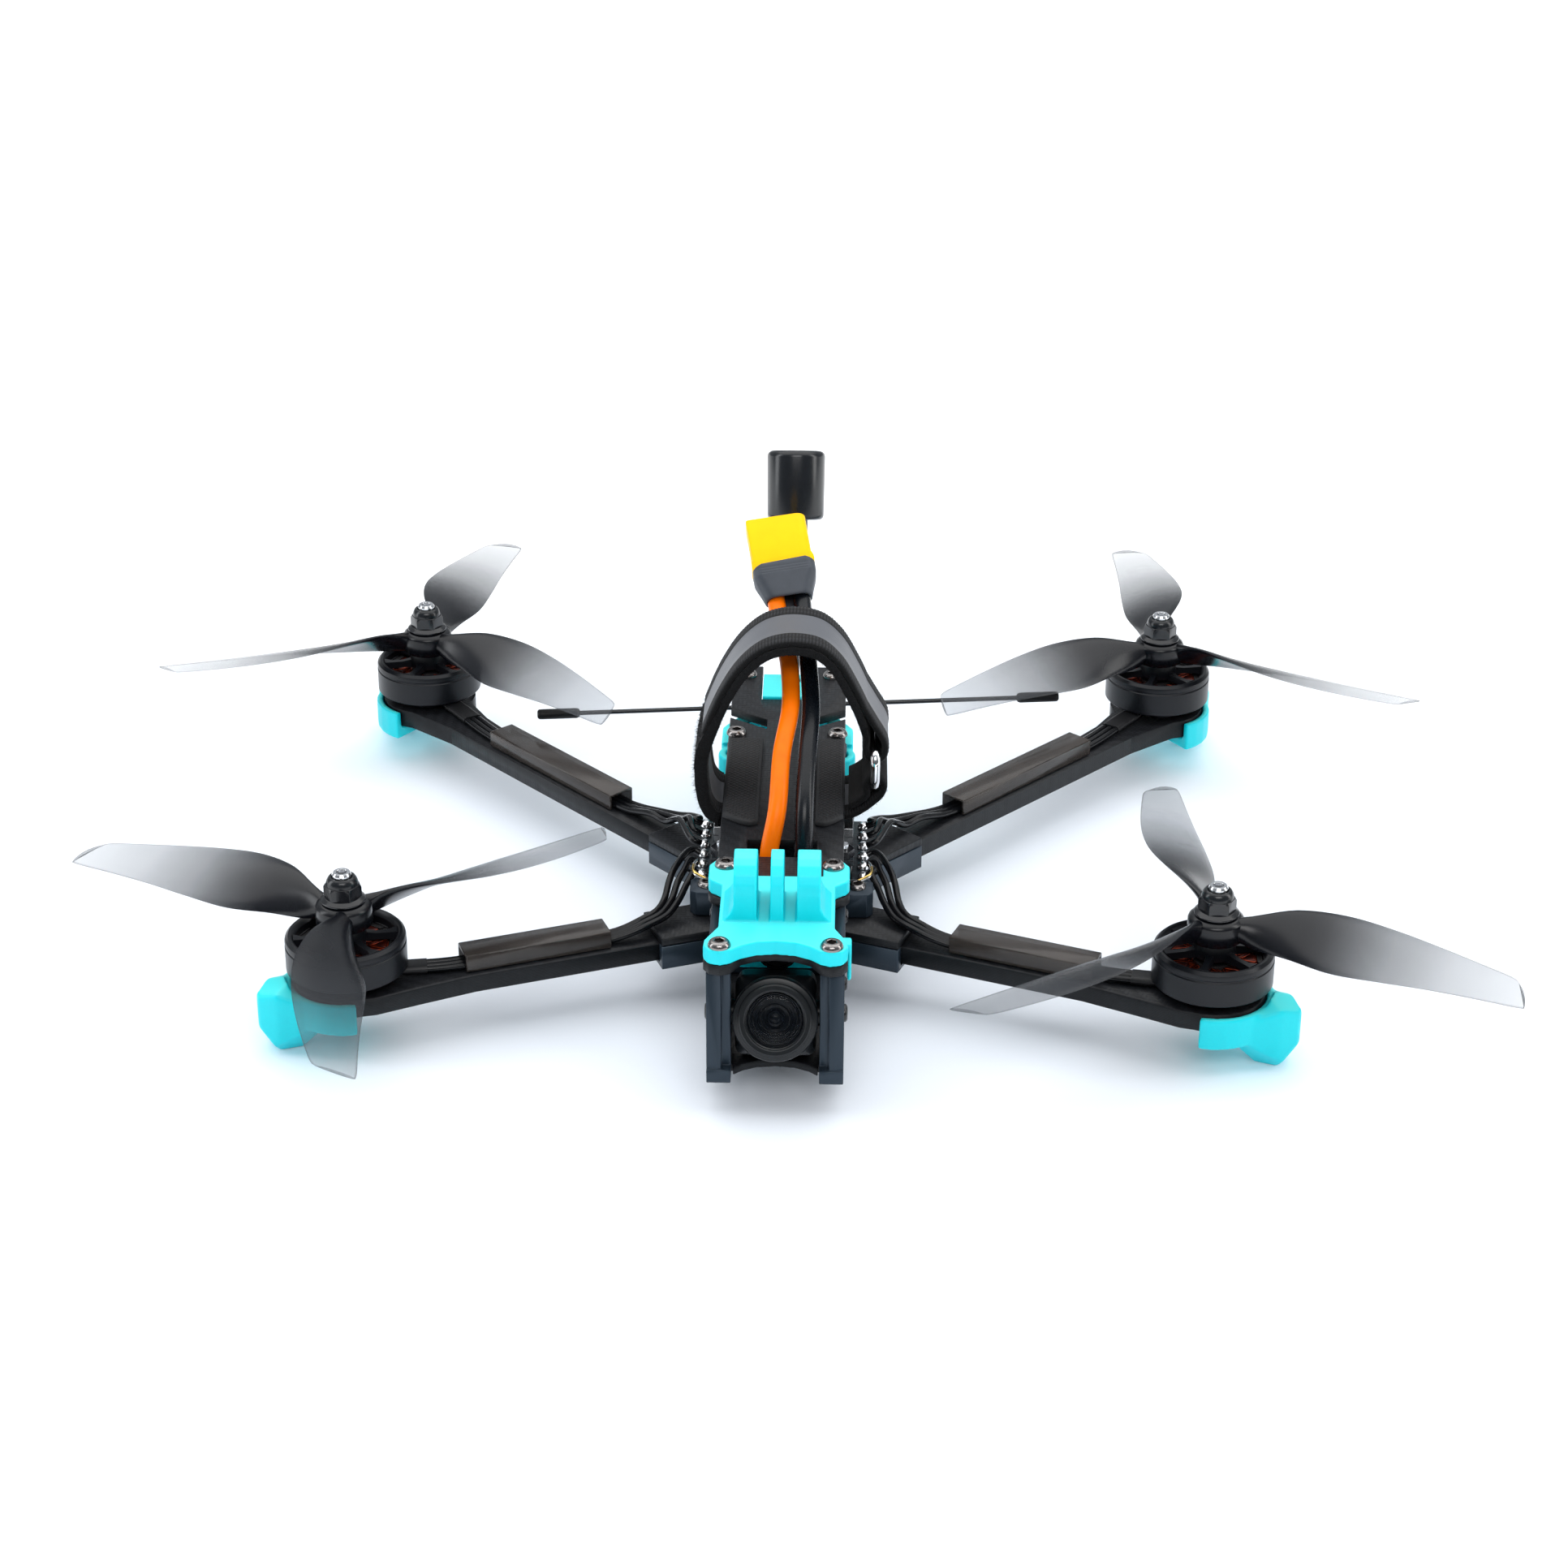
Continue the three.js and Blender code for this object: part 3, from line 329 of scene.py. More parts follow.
def printed_cyan():
    """Flexible printed plastic: faint layer lines up its sides and diagonal passes on its top. Faces that
    look upwards are painted a paler cyan than the sides, a painted highlight from above.
    """
    s = Surface("printed_cyan", (0.0, 0.74, 0.86), 0.42, Subsurface_Weight=0.35, Subsurface_Scale=0.0012,
                Specular_IOR_Level=0.4)
    s.shader.inputs["Subsurface Radius"].default_value = (0.4, 1.0, 1.0)
    x, y, z = s.axes()
    level = s.math("ABSOLUTE", s.facing()[2])
    top = s.between(level, 0.0, 1.0, 0.8, 0.95)
    side = s.math("SUBTRACT", 1.0, top)
    layers = s.ridges(z, 0.28)
    passes = s.ridges(s.math("ADD", x, s.times(y, 0.8)), 0.5)
    cloudy = s.noise(140, 3)
    fleck = s.noise(1500, 4)
    lines = s.math("ADD", s.times(top, passes), s.times(side, 0.5))
    tone = s.math("MULTIPLY_ADD", lines, 0.4, s.math("MULTIPLY_ADD", cloudy, 0.3, s.times(fleck, 0.3)))
    # painted highlight: the upward faces get this paler cyan, the sides a deeper one
    upper = s.blend(tone, (0.01, 0.68, 0.7), (0.14, 0.92, 0.9))
    return s.finish(s.times(top, 0.8), s.blend(tone, (0.0, 0.6, 0.7), (0.0, 0.76, 0.84)), upper, cloudy,
        0.36, 0.5, (s.times(top, passes), 0.02), (s.times(side, s.times(layers, fleck)), 0.01),
        (s.noise(2600, 2), 0.008))


def bell_black():
    s = Surface("motor_bell", (0.006, 0.007, 0.01), 0.3, Metallic=0.2, Specular_IOR_Level=0.34)
    z = s.axes()[2]
    grain = s.noise(9000, 2)
    return s.finish(s.noise(90, 2), (0.003, 0.004, 0.006), (0.007, 0.008, 0.011), grain, 0.28, 0.42,
        (s.ridges(z, 0.18), 0.002), (grain, 0.003))


def copper_wire():
    """Enamelled copper wound in close turns. The grooves between turns and scattered patches are painted
    near black as painted shade; the copper colour stays on the crests.
    """
    s = Surface("copper_windings", (0.32, 0.05, 0.02), 0.3, Metallic=0.75)
    z = s.axes()[2]
    turns = s.ridges(z, 0.42)
    patch = s.noise(900, 2)
    # painted shade: near black where the turns dip and where the patches are low
    return s.finish(s.times(turns, patch), (0.025, 0.002, 0.0015), (0.5, 0.06, 0.012), patch, 0.22, 0.42,
        (turns, 0.12))


def stator_black():
    s = Surface("stator_laminations", (0.012, 0.012, 0.014), 0.45, Metallic=0.2)
    sheets = s.ridges(s.axes()[2], 0.3)
    return s.finish(sheets, (0.007, 0.007, 0.008), (0.03, 0.03, 0.033), s.noise(1500, 2), 0.35, 0.6,
        (sheets, 0.03))


def steel(name="screw_steel", dark=(0.15, 0.14, 0.138), light=(0.34, 0.322, 0.315), gloss=0.2):
    s = Surface(name, light, gloss, Metallic=1.0)
    grain = s.noise(2500, 3)
    return s.finish(grain, dark, light, grain, gloss * 0.7, gloss * 1.6, (grain, 0.004))


def smoked_blade():
    """Clear smoke plastic, black around the hub and thinning to a pale grey at the tips."""
    s = Surface("propeller_smoke", (0.02, 0.022, 0.025), 0.24, IOR=1.5, Specular_IOR_Level=0.34)
    cloudy = s.noise(55, 3)
    whole = s.math("DIVIDE", s.reach(), PROP_RADIUS * MM)
    share = s.math("MULTIPLY_ADD", s.math("SUBTRACT", cloudy, 0.5), 0.05, whole)
    s.shader_colour(s.ramp(share, (0.0, (0.002, 0.0025, 0.004)), (0.35, (0.005, 0.006, 0.009)),
                           (0.6, (0.03, 0.033, 0.039)), (1.0, (0.1, 0.11, 0.125))))
    # painted shade: near its leading and trailing edges and over the tip's end the blade is made more
    # opaque, painting dark outlines where clear plastic bends the light
    edge = s.node("Attribute", attribute_name="edge").outputs["Fac"]
    clear = ((0, 1), (0.28, 0.97), (0.42, 0.75), (0.56, 0.52), (0.76, 0.34), (1, 0.24))
    clear = s.ramp(share, *[(at, (grey,) * 3) for at, grey in clear])
    s.feed(s.shader.inputs["Alpha"], s.math("MAXIMUM", clear, s.times(edge, 0.55)))
    s.roughness(cloudy, 0.2, 0.32)
    s.bump(s.noise(300, 2), 0.006)
    return s.material


def smoked_tape():
    s = Surface("smoked_cover", (0.05, 0.043, 0.038), 0.2, Alpha=0.84, Specular_IOR_Level=0.42)
    cloudy = s.noise(120, 3)
    return s.finish(cloudy, (0.018, 0.0155, 0.0145), (0.06, 0.05, 0.044), cloudy, 0.14, 0.3,
        (s.noise(260, 2), 0.05))


def rubbery(name, low, high, rough=(0.2, 0.34), shine=0.35, grain=0.006):
    """Silicone or moulded plastic: a faintly uneven gloss and a trace of colour drift."""
    s = Surface(name, high, rough[1], Specular_IOR_Level=shine)
    patch = s.noise(260, 3)
    return s.finish(patch, low, high, s.noise(1600, 3), *rough, (s.noise(5200, 2), grain))


def solder_mask():
    """A dark circuit board with faint copper tracks under its lacquer."""
    s = Surface("circuit_board", (0.012, 0.016, 0.02), 0.3, Specular_IOR_Level=0.4)
    cells = s.node("TexVoronoi", feature="DISTANCE_TO_EDGE", distance="MANHATTAN")
    s.feed(cells.inputs["Vector"], s.place())
    cells.inputs["Scale"].default_value = 520
    track = s.math("LESS_THAN", cells.outputs["Distance"], 0.07)
    return s.finish(track, (0.009, 0.013, 0.017), (0.025, 0.035, 0.042), s.noise(1500, 2), 0.24, 0.42,
        (track, 0.02))


def webbing_edge():
    """Black woven binding, ribbed across the strap. Its raised ribs are painted lighter and the hollows
    between them darker, as painted highlight and shade.
    """
    s = Surface("webbing_edge", (0.008, 0.008, 0.009), 0.8, Specular_IOR_Level=0.2, Sheen_Weight=0.06,
        Sheen_Roughness=0.4)
    threads = s.noise(2600, 4)
    raised = s.node("Attribute", attribute_name="rib").outputs["Fac"]
    # painted highlight and shade: lighter where the rib attribute is high, near black between the ribs
    tone = s.times(threads, s.math("MULTIPLY_ADD", raised, 1.5, 0.1))
    return s.finish(tone, (0.0008, 0.0008, 0.001), (0.045, 0.047, 0.053), threads, 0.6, 0.95,
        (threads, 0.12))


def webbing_stripe():
    """Grey reflective tape woven down the middle of the strap."""
    s = Surface("webbing_stripe", (0.12, 0.125, 0.14), 0.55, Metallic=0.1, Sheen_Weight=0.1)
    weft = s.ridges(s.axes()[1], 0.45)
    fine = s.noise(5200, 3)
    tone = s.math("MULTIPLY_ADD", weft, 0.4, s.times(fine, 0.6))
    return s.finish(tone, (0.062, 0.068, 0.082), (0.11, 0.118, 0.137), fine, 0.42, 0.62, (tone, 0.03))


def pile_black():
    """The brushed loops on the strap's back."""
    s = Surface("strap_pile", (0.004, 0.004, 0.005), 0.95, Specular_IOR_Level=0.12, Sheen_Weight=0.05,
        Sheen_Roughness=0.5)
    tufts = s.noise(1500, 5, rough=0.7)
    return s.finish(tufts, (0.001, 0.001, 0.0012), (0.012, 0.0125, 0.014), tufts, 0.8, 1.0, (tufts, 0.5))


def pad_rubber():
    s = Surface("pad_rubber", (0.012, 0.0125, 0.014), 0.5, Specular_IOR_Level=0.34)
    dusty = s.noise(700, 4)
    return s.finish(dusty, (0.006, 0.0065, 0.008), (0.017, 0.018, 0.02), dusty, 0.5, 0.75,
        (s.noise(5200, 2), 0.01))


def lens_coating():
    s = Surface("lens_coating", (0.002, 0.002, 0.003), 0.16, Specular_IOR_Level=0.16)
    return s.finish(s.noise(350, 1), (0.002, 0.003, 0.006), (0.006, 0.009, 0.012), s.noise(300, 2),
        0.12, 0.2)


def clear_glass():
    s = Surface("front_glass", (0.004, 0.005, 0.007), 0.03, Alpha=0.12, Specular_IOR_Level=0.35)
    s.roughness(s.noise(600, 2), 0.015, 0.04)
    return s.material


MATERIALS = {
    "carbon": carbon("carbon"),
    "carbon_front_left": carbon("carbon_front_left", -21.6),
    "carbon_front_right": carbon("carbon_front_right", 21.6),
    "carbon_rear_left": carbon("carbon_rear_left", 47.3),
    "carbon_rear_right": carbon("carbon_rear_right", -47.3),
    "slate": slate_aluminium(),
    "edge": edge_highlight_paint(),
    "cyan": printed_cyan(),
    "bell": bell_black(),
    "copper": copper_wire(),
    "stator": stator_black(),
    "screw": steel(),
    "bright": steel("bright_steel", (0.5, 0.51, 0.53), (0.78, 0.79, 0.81), 0.14),
    "chrome": steel("ring_chrome", (0.6, 0.61, 0.63), (0.85, 0.85, 0.86), 0.08),
    "solder": steel("solder", (0.7, 0.71, 0.73), (0.92, 0.93, 0.95), 0.22),
    "brass": steel("contact_gold", (0.5, 0.33, 0.09), (0.85, 0.62, 0.22), 0.2),
    "nut": rubbery("nut_black", (0.003, 0.0035, 0.005), (0.008, 0.009, 0.012), (0.16, 0.28), 0.5),
    "blade": smoked_blade(),
    "cover": smoked_tape(),
    "wire": rubbery("wire_black", (0.0015, 0.0018, 0.0025), (0.004, 0.0045, 0.006),
        (0.18, 0.3), 0.26, 0.003),
    "shrink": rubbery("heat_shrink", (0.004, 0.004, 0.005), (0.011, 0.0115, 0.013), (0.36, 0.5), 0.3),
    "board": solder_mask(),
    "case": rubbery("electronics_case", (0.012, 0.014, 0.017), (0.024, 0.027, 0.032),
        (0.35, 0.5), 0.35, 0.012),
    "chip": rubbery("chip_resin", (0.005, 0.005, 0.006), (0.012, 0.012, 0.013), (0.4, 0.6), 0.3, 0.012),
    "gloss": rubbery("black_plastic", (0.005, 0.0065, 0.0085), (0.009, 0.011, 0.014),
        (0.18, 0.28), 0.4, 0.003),
    "camera": rubbery("camera_shell", (0.004, 0.005, 0.006), (0.009, 0.011, 0.013),
        (0.26, 0.36), 0.3, 0.002),
    "lens": lens_coating(),
    "glass": clear_glass(),
    "strap_edge": webbing_edge(),
    "strap_stripe": webbing_stripe(),
    "strap_pile": pile_black(),
    "pad": pad_rubber(),
    "orange": rubbery("lead_orange", (0.94, 0.14, 0.0), (1.0, 0.2, 0.0), (0.28, 0.4), 0.16),
    "lead": rubbery("lead_black", (0.002, 0.003, 0.005), (0.005, 0.007, 0.01), (0.2, 0.32), 0.28),
    "plug_grey": rubbery("connector_grey", (0.035, 0.042, 0.054), (0.055, 0.064, 0.08),
        (0.4, 0.54), 0.35, 0.015),
    "plug_yellow": rubbery("connector_yellow", (0.95, 0.53, 0.0), (1.0, 0.6, 0.0), (0.4, 0.5), 0.12, 0.008),
}


# ---------------------------------------------------------------- shapes, as points and faces
def lathe(profile, sides=48):
    """A body of revolution about Z. The profile holds (radius, z), and closes where it ends at its start."""
    points, rings = [], []
    closed = profile[0] == profile[-1]
    for radius, z in profile[:-1] if closed else profile:
        if radius < 1e-6:
            rings.append([len(points)] * sides)
            points.append((0, 0, z))
            continue
        rings.append(list(range(len(points), len(points) + sides)))
        for i in range(sides):
            angle = 2 * math.pi * i / sides
            points.append((radius * math.cos(angle), radius * math.sin(angle), z))
    if closed:
        rings.append(rings[0])
    return points, skin(rings)


def skin(rings, around=True):
    """Faces between neighbouring rings of point numbers."""
    faces = []
    for low, high in zip(rings, rings[1:]):
        for i in range(len(low) if around else len(low) - 1):
            j = (i + 1) % len(low)
            corners = list(dict.fromkeys((low[i], low[j], high[j], high[i])))
            if len(corners) > 2:
                faces.append(corners)
    return faces


def loft(sections, closed=False):
    """A skin over a row of sections, capped, or closed where they lead back to the first one."""
    count = len(sections[0])
    points = [tuple(p) for section in sections for p in section]
    rings = [list(range(k * count, (k + 1) * count)) for k in range(len(sections))]
    if closed:
        return points, skin([*rings, rings[0]])
    return points, [*skin(rings), rings[0][::-1], rings[-1]]


def block(x, y, z):
    """A box between two values on each axis."""
    plan = [(x[0], y[0]), (x[1], y[0]), (x[1], y[1]), (x[0], y[1])]
    return loft([[(a, b, h) for a, b in plan] for h in z])


def prism(outline, low, high):
    return loft([[(x, y, h) for x, y in outline] for h in (low, high)])


def polygon(sides, radius):
    step = 2 * math.pi / sides
    return [(radius * math.cos(i * step), radius * math.sin(i * step)) for i in range(sides)]


def smooth_line(points, steps=8):
    """Points along the centripetal Catmull-Rom curve through the given ones."""
    p = [Vector(q) for q in points]
    p = [2 * p[0] - p[1], *p, 2 * p[-1] - p[-2]]
    line = []
    for a, b, c, d in zip(p, p[1:], p[2:], p[3:]):
        t0, t1 = 0.0, (b - a).length ** 0.5
        t2 = t1 + (c - b).length ** 0.5
        t3 = t2 + (d - c).length ** 0.5
        for i in range(steps):
            t = t1 + (t2 - t1) * i / steps
            ab = a.lerp(b, (t - t0) / (t1 - t0))
            bc = b.lerp(c, (t - t1) / (t2 - t1))
            cd = c.lerp(d, (t - t2) / (t3 - t2))
            abc = ab.lerp(bc, (t - t0) / (t2 - t0))
            bcd = bc.lerp(cd, (t - t1) / (t3 - t1))
            line.append(abc.lerp(bcd, (t - t1) / (t2 - t1)))
    return [*line, p[-2]]


def directions(line):
    """The unit direction of a line at each of its points."""
    ends = zip([line[0], *line[:-1]], [*line[1:], line[-1]])
    return [(b - a).normalized() for a, b in ends]


def sweep(line, section):
    """A section (across, above) carried along a line, kept upright."""
    rings = []
    for middle, along in zip(line, directions(line)):
        across = Vector((0, 0, 1)).cross(along)
        across = across.normalized() if across.length > 1e-3 else Vector((1, 0, 0))
        above = along.cross(across)
        rings.append([middle + across * a + above * b for a, b in section])
    return loft(rings)


def moved(shape, place):
    points, faces = shape
    return [tuple(place @ Vector(p)) for p in points], faces


def upright_at(place, axis):
    """A frame whose Z runs along an axis, at a place."""
    turn = Vector((0, 0, 1)).rotation_difference(Vector(axis)).to_matrix().to_4x4()
    return Matrix.Translation(Vector(place)) @ turn


def on_arm(arm, out):
    angle = math.radians(arm["angle"])
    return arm["point"][0] + math.cos(angle) * out, arm["point"][1] + math.sin(angle) * out


def motor_place(corner):
    side = side_of(corner)
    end = -1 if corner.startswith("front") else 1
    return Vector((side * MOTOR_X, end * MOTOR_Y, 0))


# ---------------------------------------------------------------- pieces
class Piece:
    """One visible piece, gathered from shapes in millimetres about its own origin."""

    def __init__(self, *materials):
        self.mesh = bmesh.new()
        self.materials = [MATERIALS[m] for m in materials]

    def add(self, shape, material=0, place=None):
        points, faces = moved(shape, place) if place else shape
        corners = [self.mesh.verts.new(p) for p in points]
        for face in faces:
            made = self.mesh.faces.new([corners[i] for i in face])
            made.material_index = material
            made.smooth = True
        return corners

    def finish(self, name, body, slot, replaces=(), origin=(0, 0, 0), edge=0.0, segments=2, sharp=35):
        bmesh.ops.recalc_face_normals(self.mesh, faces=self.mesh.faces)
        bmesh.ops.scale(self.mesh, vec=(MM, MM, MM), verts=self.mesh.verts)
        data = bpy.data.meshes.new(name)
        self.mesh.to_mesh(data)
        self.mesh.free()
        data.set_sharp_from_angle(angle=math.radians(sharp))
        for material in self.materials:
            data.materials.append(material)
        obj = placed(name, data)
        obj.location = Vector(origin) * MM
        if edge:
            rounded_edges(obj, edge, segments)
        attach(obj, body)
        if replaces:
            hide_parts(*replaces)
        return obj


def rounded_edges(obj, width, segments=2, material=-1):
    bevel = obj.modifiers.new("rounded_edges", "BEVEL")
    bevel.width = width * MM
    bevel.segments = segments
    bevel.limit_method = "ANGLE"
    bevel.angle_limit = SHARP_EDGE
    bevel.harden_normals = True
    bevel.use_clamp_overlap = True
    bevel.material = material


def smooth_by_angle():
    """A modifier group that shades faces smooth and keeps edges over 32 degrees sharp."""
    group = bpy.data.node_groups.new("smooth_by_angle", "GeometryNodeTree")
    group.interface.new_socket("Geometry", in_out="INPUT", socket_type="NodeSocketGeometry")
    group.interface.new_socket("Geometry", in_out="OUTPUT", socket_type="NodeSocketGeometry")
    nodes, links = group.nodes, group.links
    start, end = nodes.new("NodeGroupInput"), nodes.new("NodeGroupOutput")
    faces = nodes.new("GeometryNodeSetShadeSmooth")
    edges = nodes.new("GeometryNodeSetShadeSmooth")
    edges.domain = "EDGE"
    edges.inputs["Shade Smooth"].default_value = False
    angle = nodes.new("GeometryNodeInputMeshEdgeAngle")
    over = nodes.new("FunctionNodeCompare")
    over.operation = "GREATER_THAN"
    over.inputs[1].default_value = SHARP_EDGE
    links.new(angle.outputs[0], over.inputs[0])
    links.new(over.outputs[0], edges.inputs["Selection"])
    links.new(start.outputs[0], faces.inputs["Geometry"])
    links.new(faces.outputs[0], edges.inputs["Geometry"])
    links.new(edges.outputs[0], end.inputs[0])
    return group


SMOOTH_BY_ANGLE = smooth_by_angle()


def refinished(node, *materials):
    """A CAD node with new materials and its seams welded."""
    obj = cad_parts[node]
    data = obj.data
    if "custom_normal" in data.attributes:
        data.attributes.remove(data.attributes["custom_normal"])
    data.materials.clear()
    for material in materials:
        data.materials.append(MATERIALS[material])
    weld = obj.modifiers.new("weld", "WELD")
    weld.merge_threshold = 0.004 * MM
    return obj


def refined(node, *materials, edge=0.3, segments=2, edge_material=-1):
    """A CAD node kept as it is, with its edges rounded and its finish made real."""
    obj = refinished(node, *materials)
    flat = obj.modifiers.new("flat_faces", "DECIMATE")
    flat.decimate_type = "DISSOLVE"
    flat.angle_limit = math.radians(0.6)
    rounded_edges(obj, edge, segments, edge_material)
    shading = obj.modifiers.new("shading", "NODES")
    shading.node_group = SMOOTH_BY_ANGLE


def softened(node, material, voxel=0.32, rounds=5):
    """A CAD node of soft plastic: remade as a fine skin whose corners are rounded off."""
    obj = refinished(node, material)
    skin_ = obj.modifiers.new("skin", "REMESH")
    skin_.mode = "VOXEL"
    skin_.voxel_size = voxel * MM
    skin_.use_smooth_shade = True
    soft = obj.modifiers.new("soft", "SMOOTH")
    soft.factor = 0.5
    soft.iterations = rounds


# ---------------------------------------------------------------- battery leads and connector
POSITIVE_LEAD = [
    (-4.2, -45.5, 25), (-4.2, -50, 25.6), (-3.8, -56.4, 29.4), (-3.3, -59.8, 35), (-2.9, -60, 40.8),
    (-1.1, -56.4, 50), (-0.3, -45, 59.8), (1.6, -32, 67.2), (0.9, -20, 73.4), (-1.4, -8, 77.9),
    (-2.7, -0.4, 81.4),
]
NEGATIVE_LEAD = [
    (4.6, -45.5, 25), (4.6, -50, 25.6), (5, -56.4, 29.4), (5.4, -59.8, 35), (5.5, -60, 40.8),
    (5.6, -56.4, 50), (6.1, -45, 59.8), (6.7, -32, 66.6), (5.9, -20, 72.8), (4.6, -8, 77.7),
    (3.8, 0.5, 82.2),
]
LEAD_RADIUS = 2.3
PLUG_FOOT = Vector((0.5, 0.5, 82.2))
PLUG_OUT = Vector((-0.18, 0.742, 0.646)).normalized()
PLUG_ACROSS = (Vector((1, 0, 0)) - PLUG_OUT * PLUG_OUT.x).normalized()
PLUG_FACE = PLUG_ACROSS.cross(PLUG_OUT)
PLUG = Matrix.Translation(PLUG_FOOT) @ Matrix((PLUG_ACROSS, PLUG_FACE, PLUG_OUT)).transposed().to_4x4()


def rounded_plan(width, depth, radii, steps=5):
    """A rectangle's outline with its own radius at each corner, anticlockwise from (-, -)."""
    a, b = width / 2, depth / 2
    outline = []
    for (sx, sy), radius, start in zip(((-1, -1), (1, -1), (1, 1), (-1, 1)), radii, (180, 270, 0, 90)):
        for i in range(steps + 1):
            angle = math.radians(start + 90 * i / steps)
            outline.append((
                sx * (a - radius) + radius * math.cos(angle),
                sy * (b - radius) + radius * math.sin(angle),
            ))
    return outline


def make_leads():
    cap = Piece("plug_grey", "chip")

    def plan(width, depth, radius):
        return rounded_plan(width, depth, (radius,) * 4, 6)

    def rim_height(x):
        return 8.7 + 2.7 * (0.5 + 0.5 * math.cos(2 * math.pi * (x - 0.6) / 18)) ** 0.8

    # the cap is an open shell over the soldered ends, its rim rising over the middle of the body
    stations = [(0.0, 11.6, 7.2, 2.6), (0.3, 12.3, 7.7, 2.8), (1.0, 12.7, 7.9, 2.8), (2.8, 13.9, 8.4, 2.8),
                (4.6, 15.2, 9.0, 2.7), (5.8, 15.9, 9.35, 2.4), (6.3, 16.1, 9.5, 2.3)]
    outside = [[(x, y, out) for x, y in plan(w, d, r)] for out, w, d, r in stations]
    for out in (6.5, 7.25, 8.0):
        for rise, inset in ((0.0, 0.0), (0.08, 0.07), (0.2, 0.07), (0.28, 0.0)):
            outside.append([(x, y - math.copysign(inset, y) * (abs(x) < 6), out + rise)
                            for x, y in plan(16.2, 9.5, 2.3)])
    rim = plan(16.3, 9.6, 2.3)
    outside.append([(x, y, rim_height(x) - 0.35) for x, y in rim])
    inside = [[(x * 0.985, y * 0.97, rim_height(x)) for x, y in rim],
              [(x * 0.955, y * 0.92, rim_height(x) - 0.1) for x, y in rim],
              [(x * 0.94, y * 0.88, 6.2) for x, y in rim]]
    hollow = [[(x, y, out) for x, y in plan(w, d, r)]
              for out, w, d, r in ((5.2, 12.4, 7.2, 2.4), (0.9, 10.4, 6.2, 2.3), (0.0, 10.7, 6.4, 2.4))]
    cap.add(loft(outside + inside + hollow, closed=True), 0, PLUG)
    cap.add(loft([[(x, y, out) for x, y in plan(11.4, 6.8, 2.2)] for out in (3.4, 4.6)]), 1, PLUG)
    shell = cap.finish("connector_cap_shell", "airframe", "connector_grey", ["connector_cap"])

    body = Piece("plug_yellow", "brass", "chip")
    top = 22.9
    outline = rounded_plan(15.6, 8.0, (0.6, 0.6, 2.6, 0.6), 6)
    inner = rounded_plan(13.2, 5.9, (0.4, 0.4, 1.7, 0.4), 6)
    rows = [[(x * 0.93, y * 0.93, 7.0) for x, y in outline], [(x * 1.0, y * 1.0, 8.4) for x, y in outline],
            [(x, y, top - 0.3) for x, y in outline], [(x * 0.982, y * 0.966, top) for x, y in outline],
            [(x, y, top) for x, y in inner], [(x, y, top - 1.8) for x, y in inner]]
    body.add(loft(rows), 0, PLUG)
    # a lip flares out over the cap at either end of the body
    for side in (-1, 1):
        lip = [[(side * out, half, h), (side * out, -half, h), (side * 6.9, -half, h), (side * 6.9, half, h)]
               for out, half, h in ((7.9, 3.3, 8.0), (8.2, 3.4, 9.6), (8.15, 3.3, 10.5), (7.75, 3.0, 11.8))]
        body.add(loft(lip), 0, PLUG)
    for x in (-3.5, 3.5):
        at = PLUG @ Matrix.Translation((x, 0, top - 24.5))
        socket = [(0, 22.3), (2.5, 22.3), (2.7, 22.6), (2.7, 24.1), (2.5, 24.3), (1.95, 24.3), (1.8, 24.1),
                  (1.8, 22.9), (0, 22.9)]
        body.add(lathe(socket, 28), 0, at)
        body.add(lathe([(1.75, 22.9), (1.75, 24.0), (1.45, 24.1), (1.35, 22.95), (1.75, 22.9)], 24), 1, at)
    yellow = body.finish("battery_connector_body", "airframe", "connector_yellow", ["battery_connector"],
                         edge=0.14, segments=3)
    for name, points, material, slot in (("lead_positive", POSITIVE_LEAD, "orange", "lead_orange"),
                                         ("lead_negative", NEGATIVE_LEAD, "lead", "lead_black")):
        inside_cap = Vector(points[-1]) + PLUG_OUT * 3.6
        line = smooth_line([*points, inside_cap], 6)
        curve = bpy.data.curves.new(name + "_cord", "CURVE")
        curve.dimensions = "3D"
        curve.bevel_depth = LEAD_RADIUS * MM
        curve.bevel_resolution = 10
        curve.use_fill_caps = True
        spline = curve.splines.new("POLY")
        spline.points.add(len(line) - 1)
        for point, at in zip(spline.points, line):
            point.co = (*(at * MM), 1)
        spline.use_smooth = True
        curve.materials.append(MATERIALS[material])
        cord = placed(name + "_cord", curve)
        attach(cord, "airframe")
        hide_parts(name)


make_camera()
make_leads()
make_studio()


# ---------------------------------------------------------------- frame
def button_screw(radius=2.7, height=1.45, socket=1.05, sides=36):
    """A domed screw head standing on Z = 0, with a six-sided socket."""
    def hexagon(i):
        angle = (2 * math.pi * i / sides) % (math.pi / 3) - math.pi / 6
        return socket / math.cos(angle)

    rows = [(radius, 0.0), (radius, 0.3)]
    for k in range(1, 6):
        t = k / 5
        rise = 0.3 + (height - 0.3) * math.sin(t * math.pi / 2)
        rows.append((radius - (radius - socket - 0.6) * t ** 1.35, rise))
    sections = [[(x, y, z) for x, y in polygon(sides, r)] for r, z in rows]
    around = polygon(sides, 1)
    for inset, z in ((0.12, height), (0.0, height - 0.12), (0.0, height - 1.2)):
        reach = [hexagon(i) + inset for i in range(sides)]
        sections.append([(r * x, r * y, z) for r, (x, y) in zip(reach, around)])
    return loft(sections)


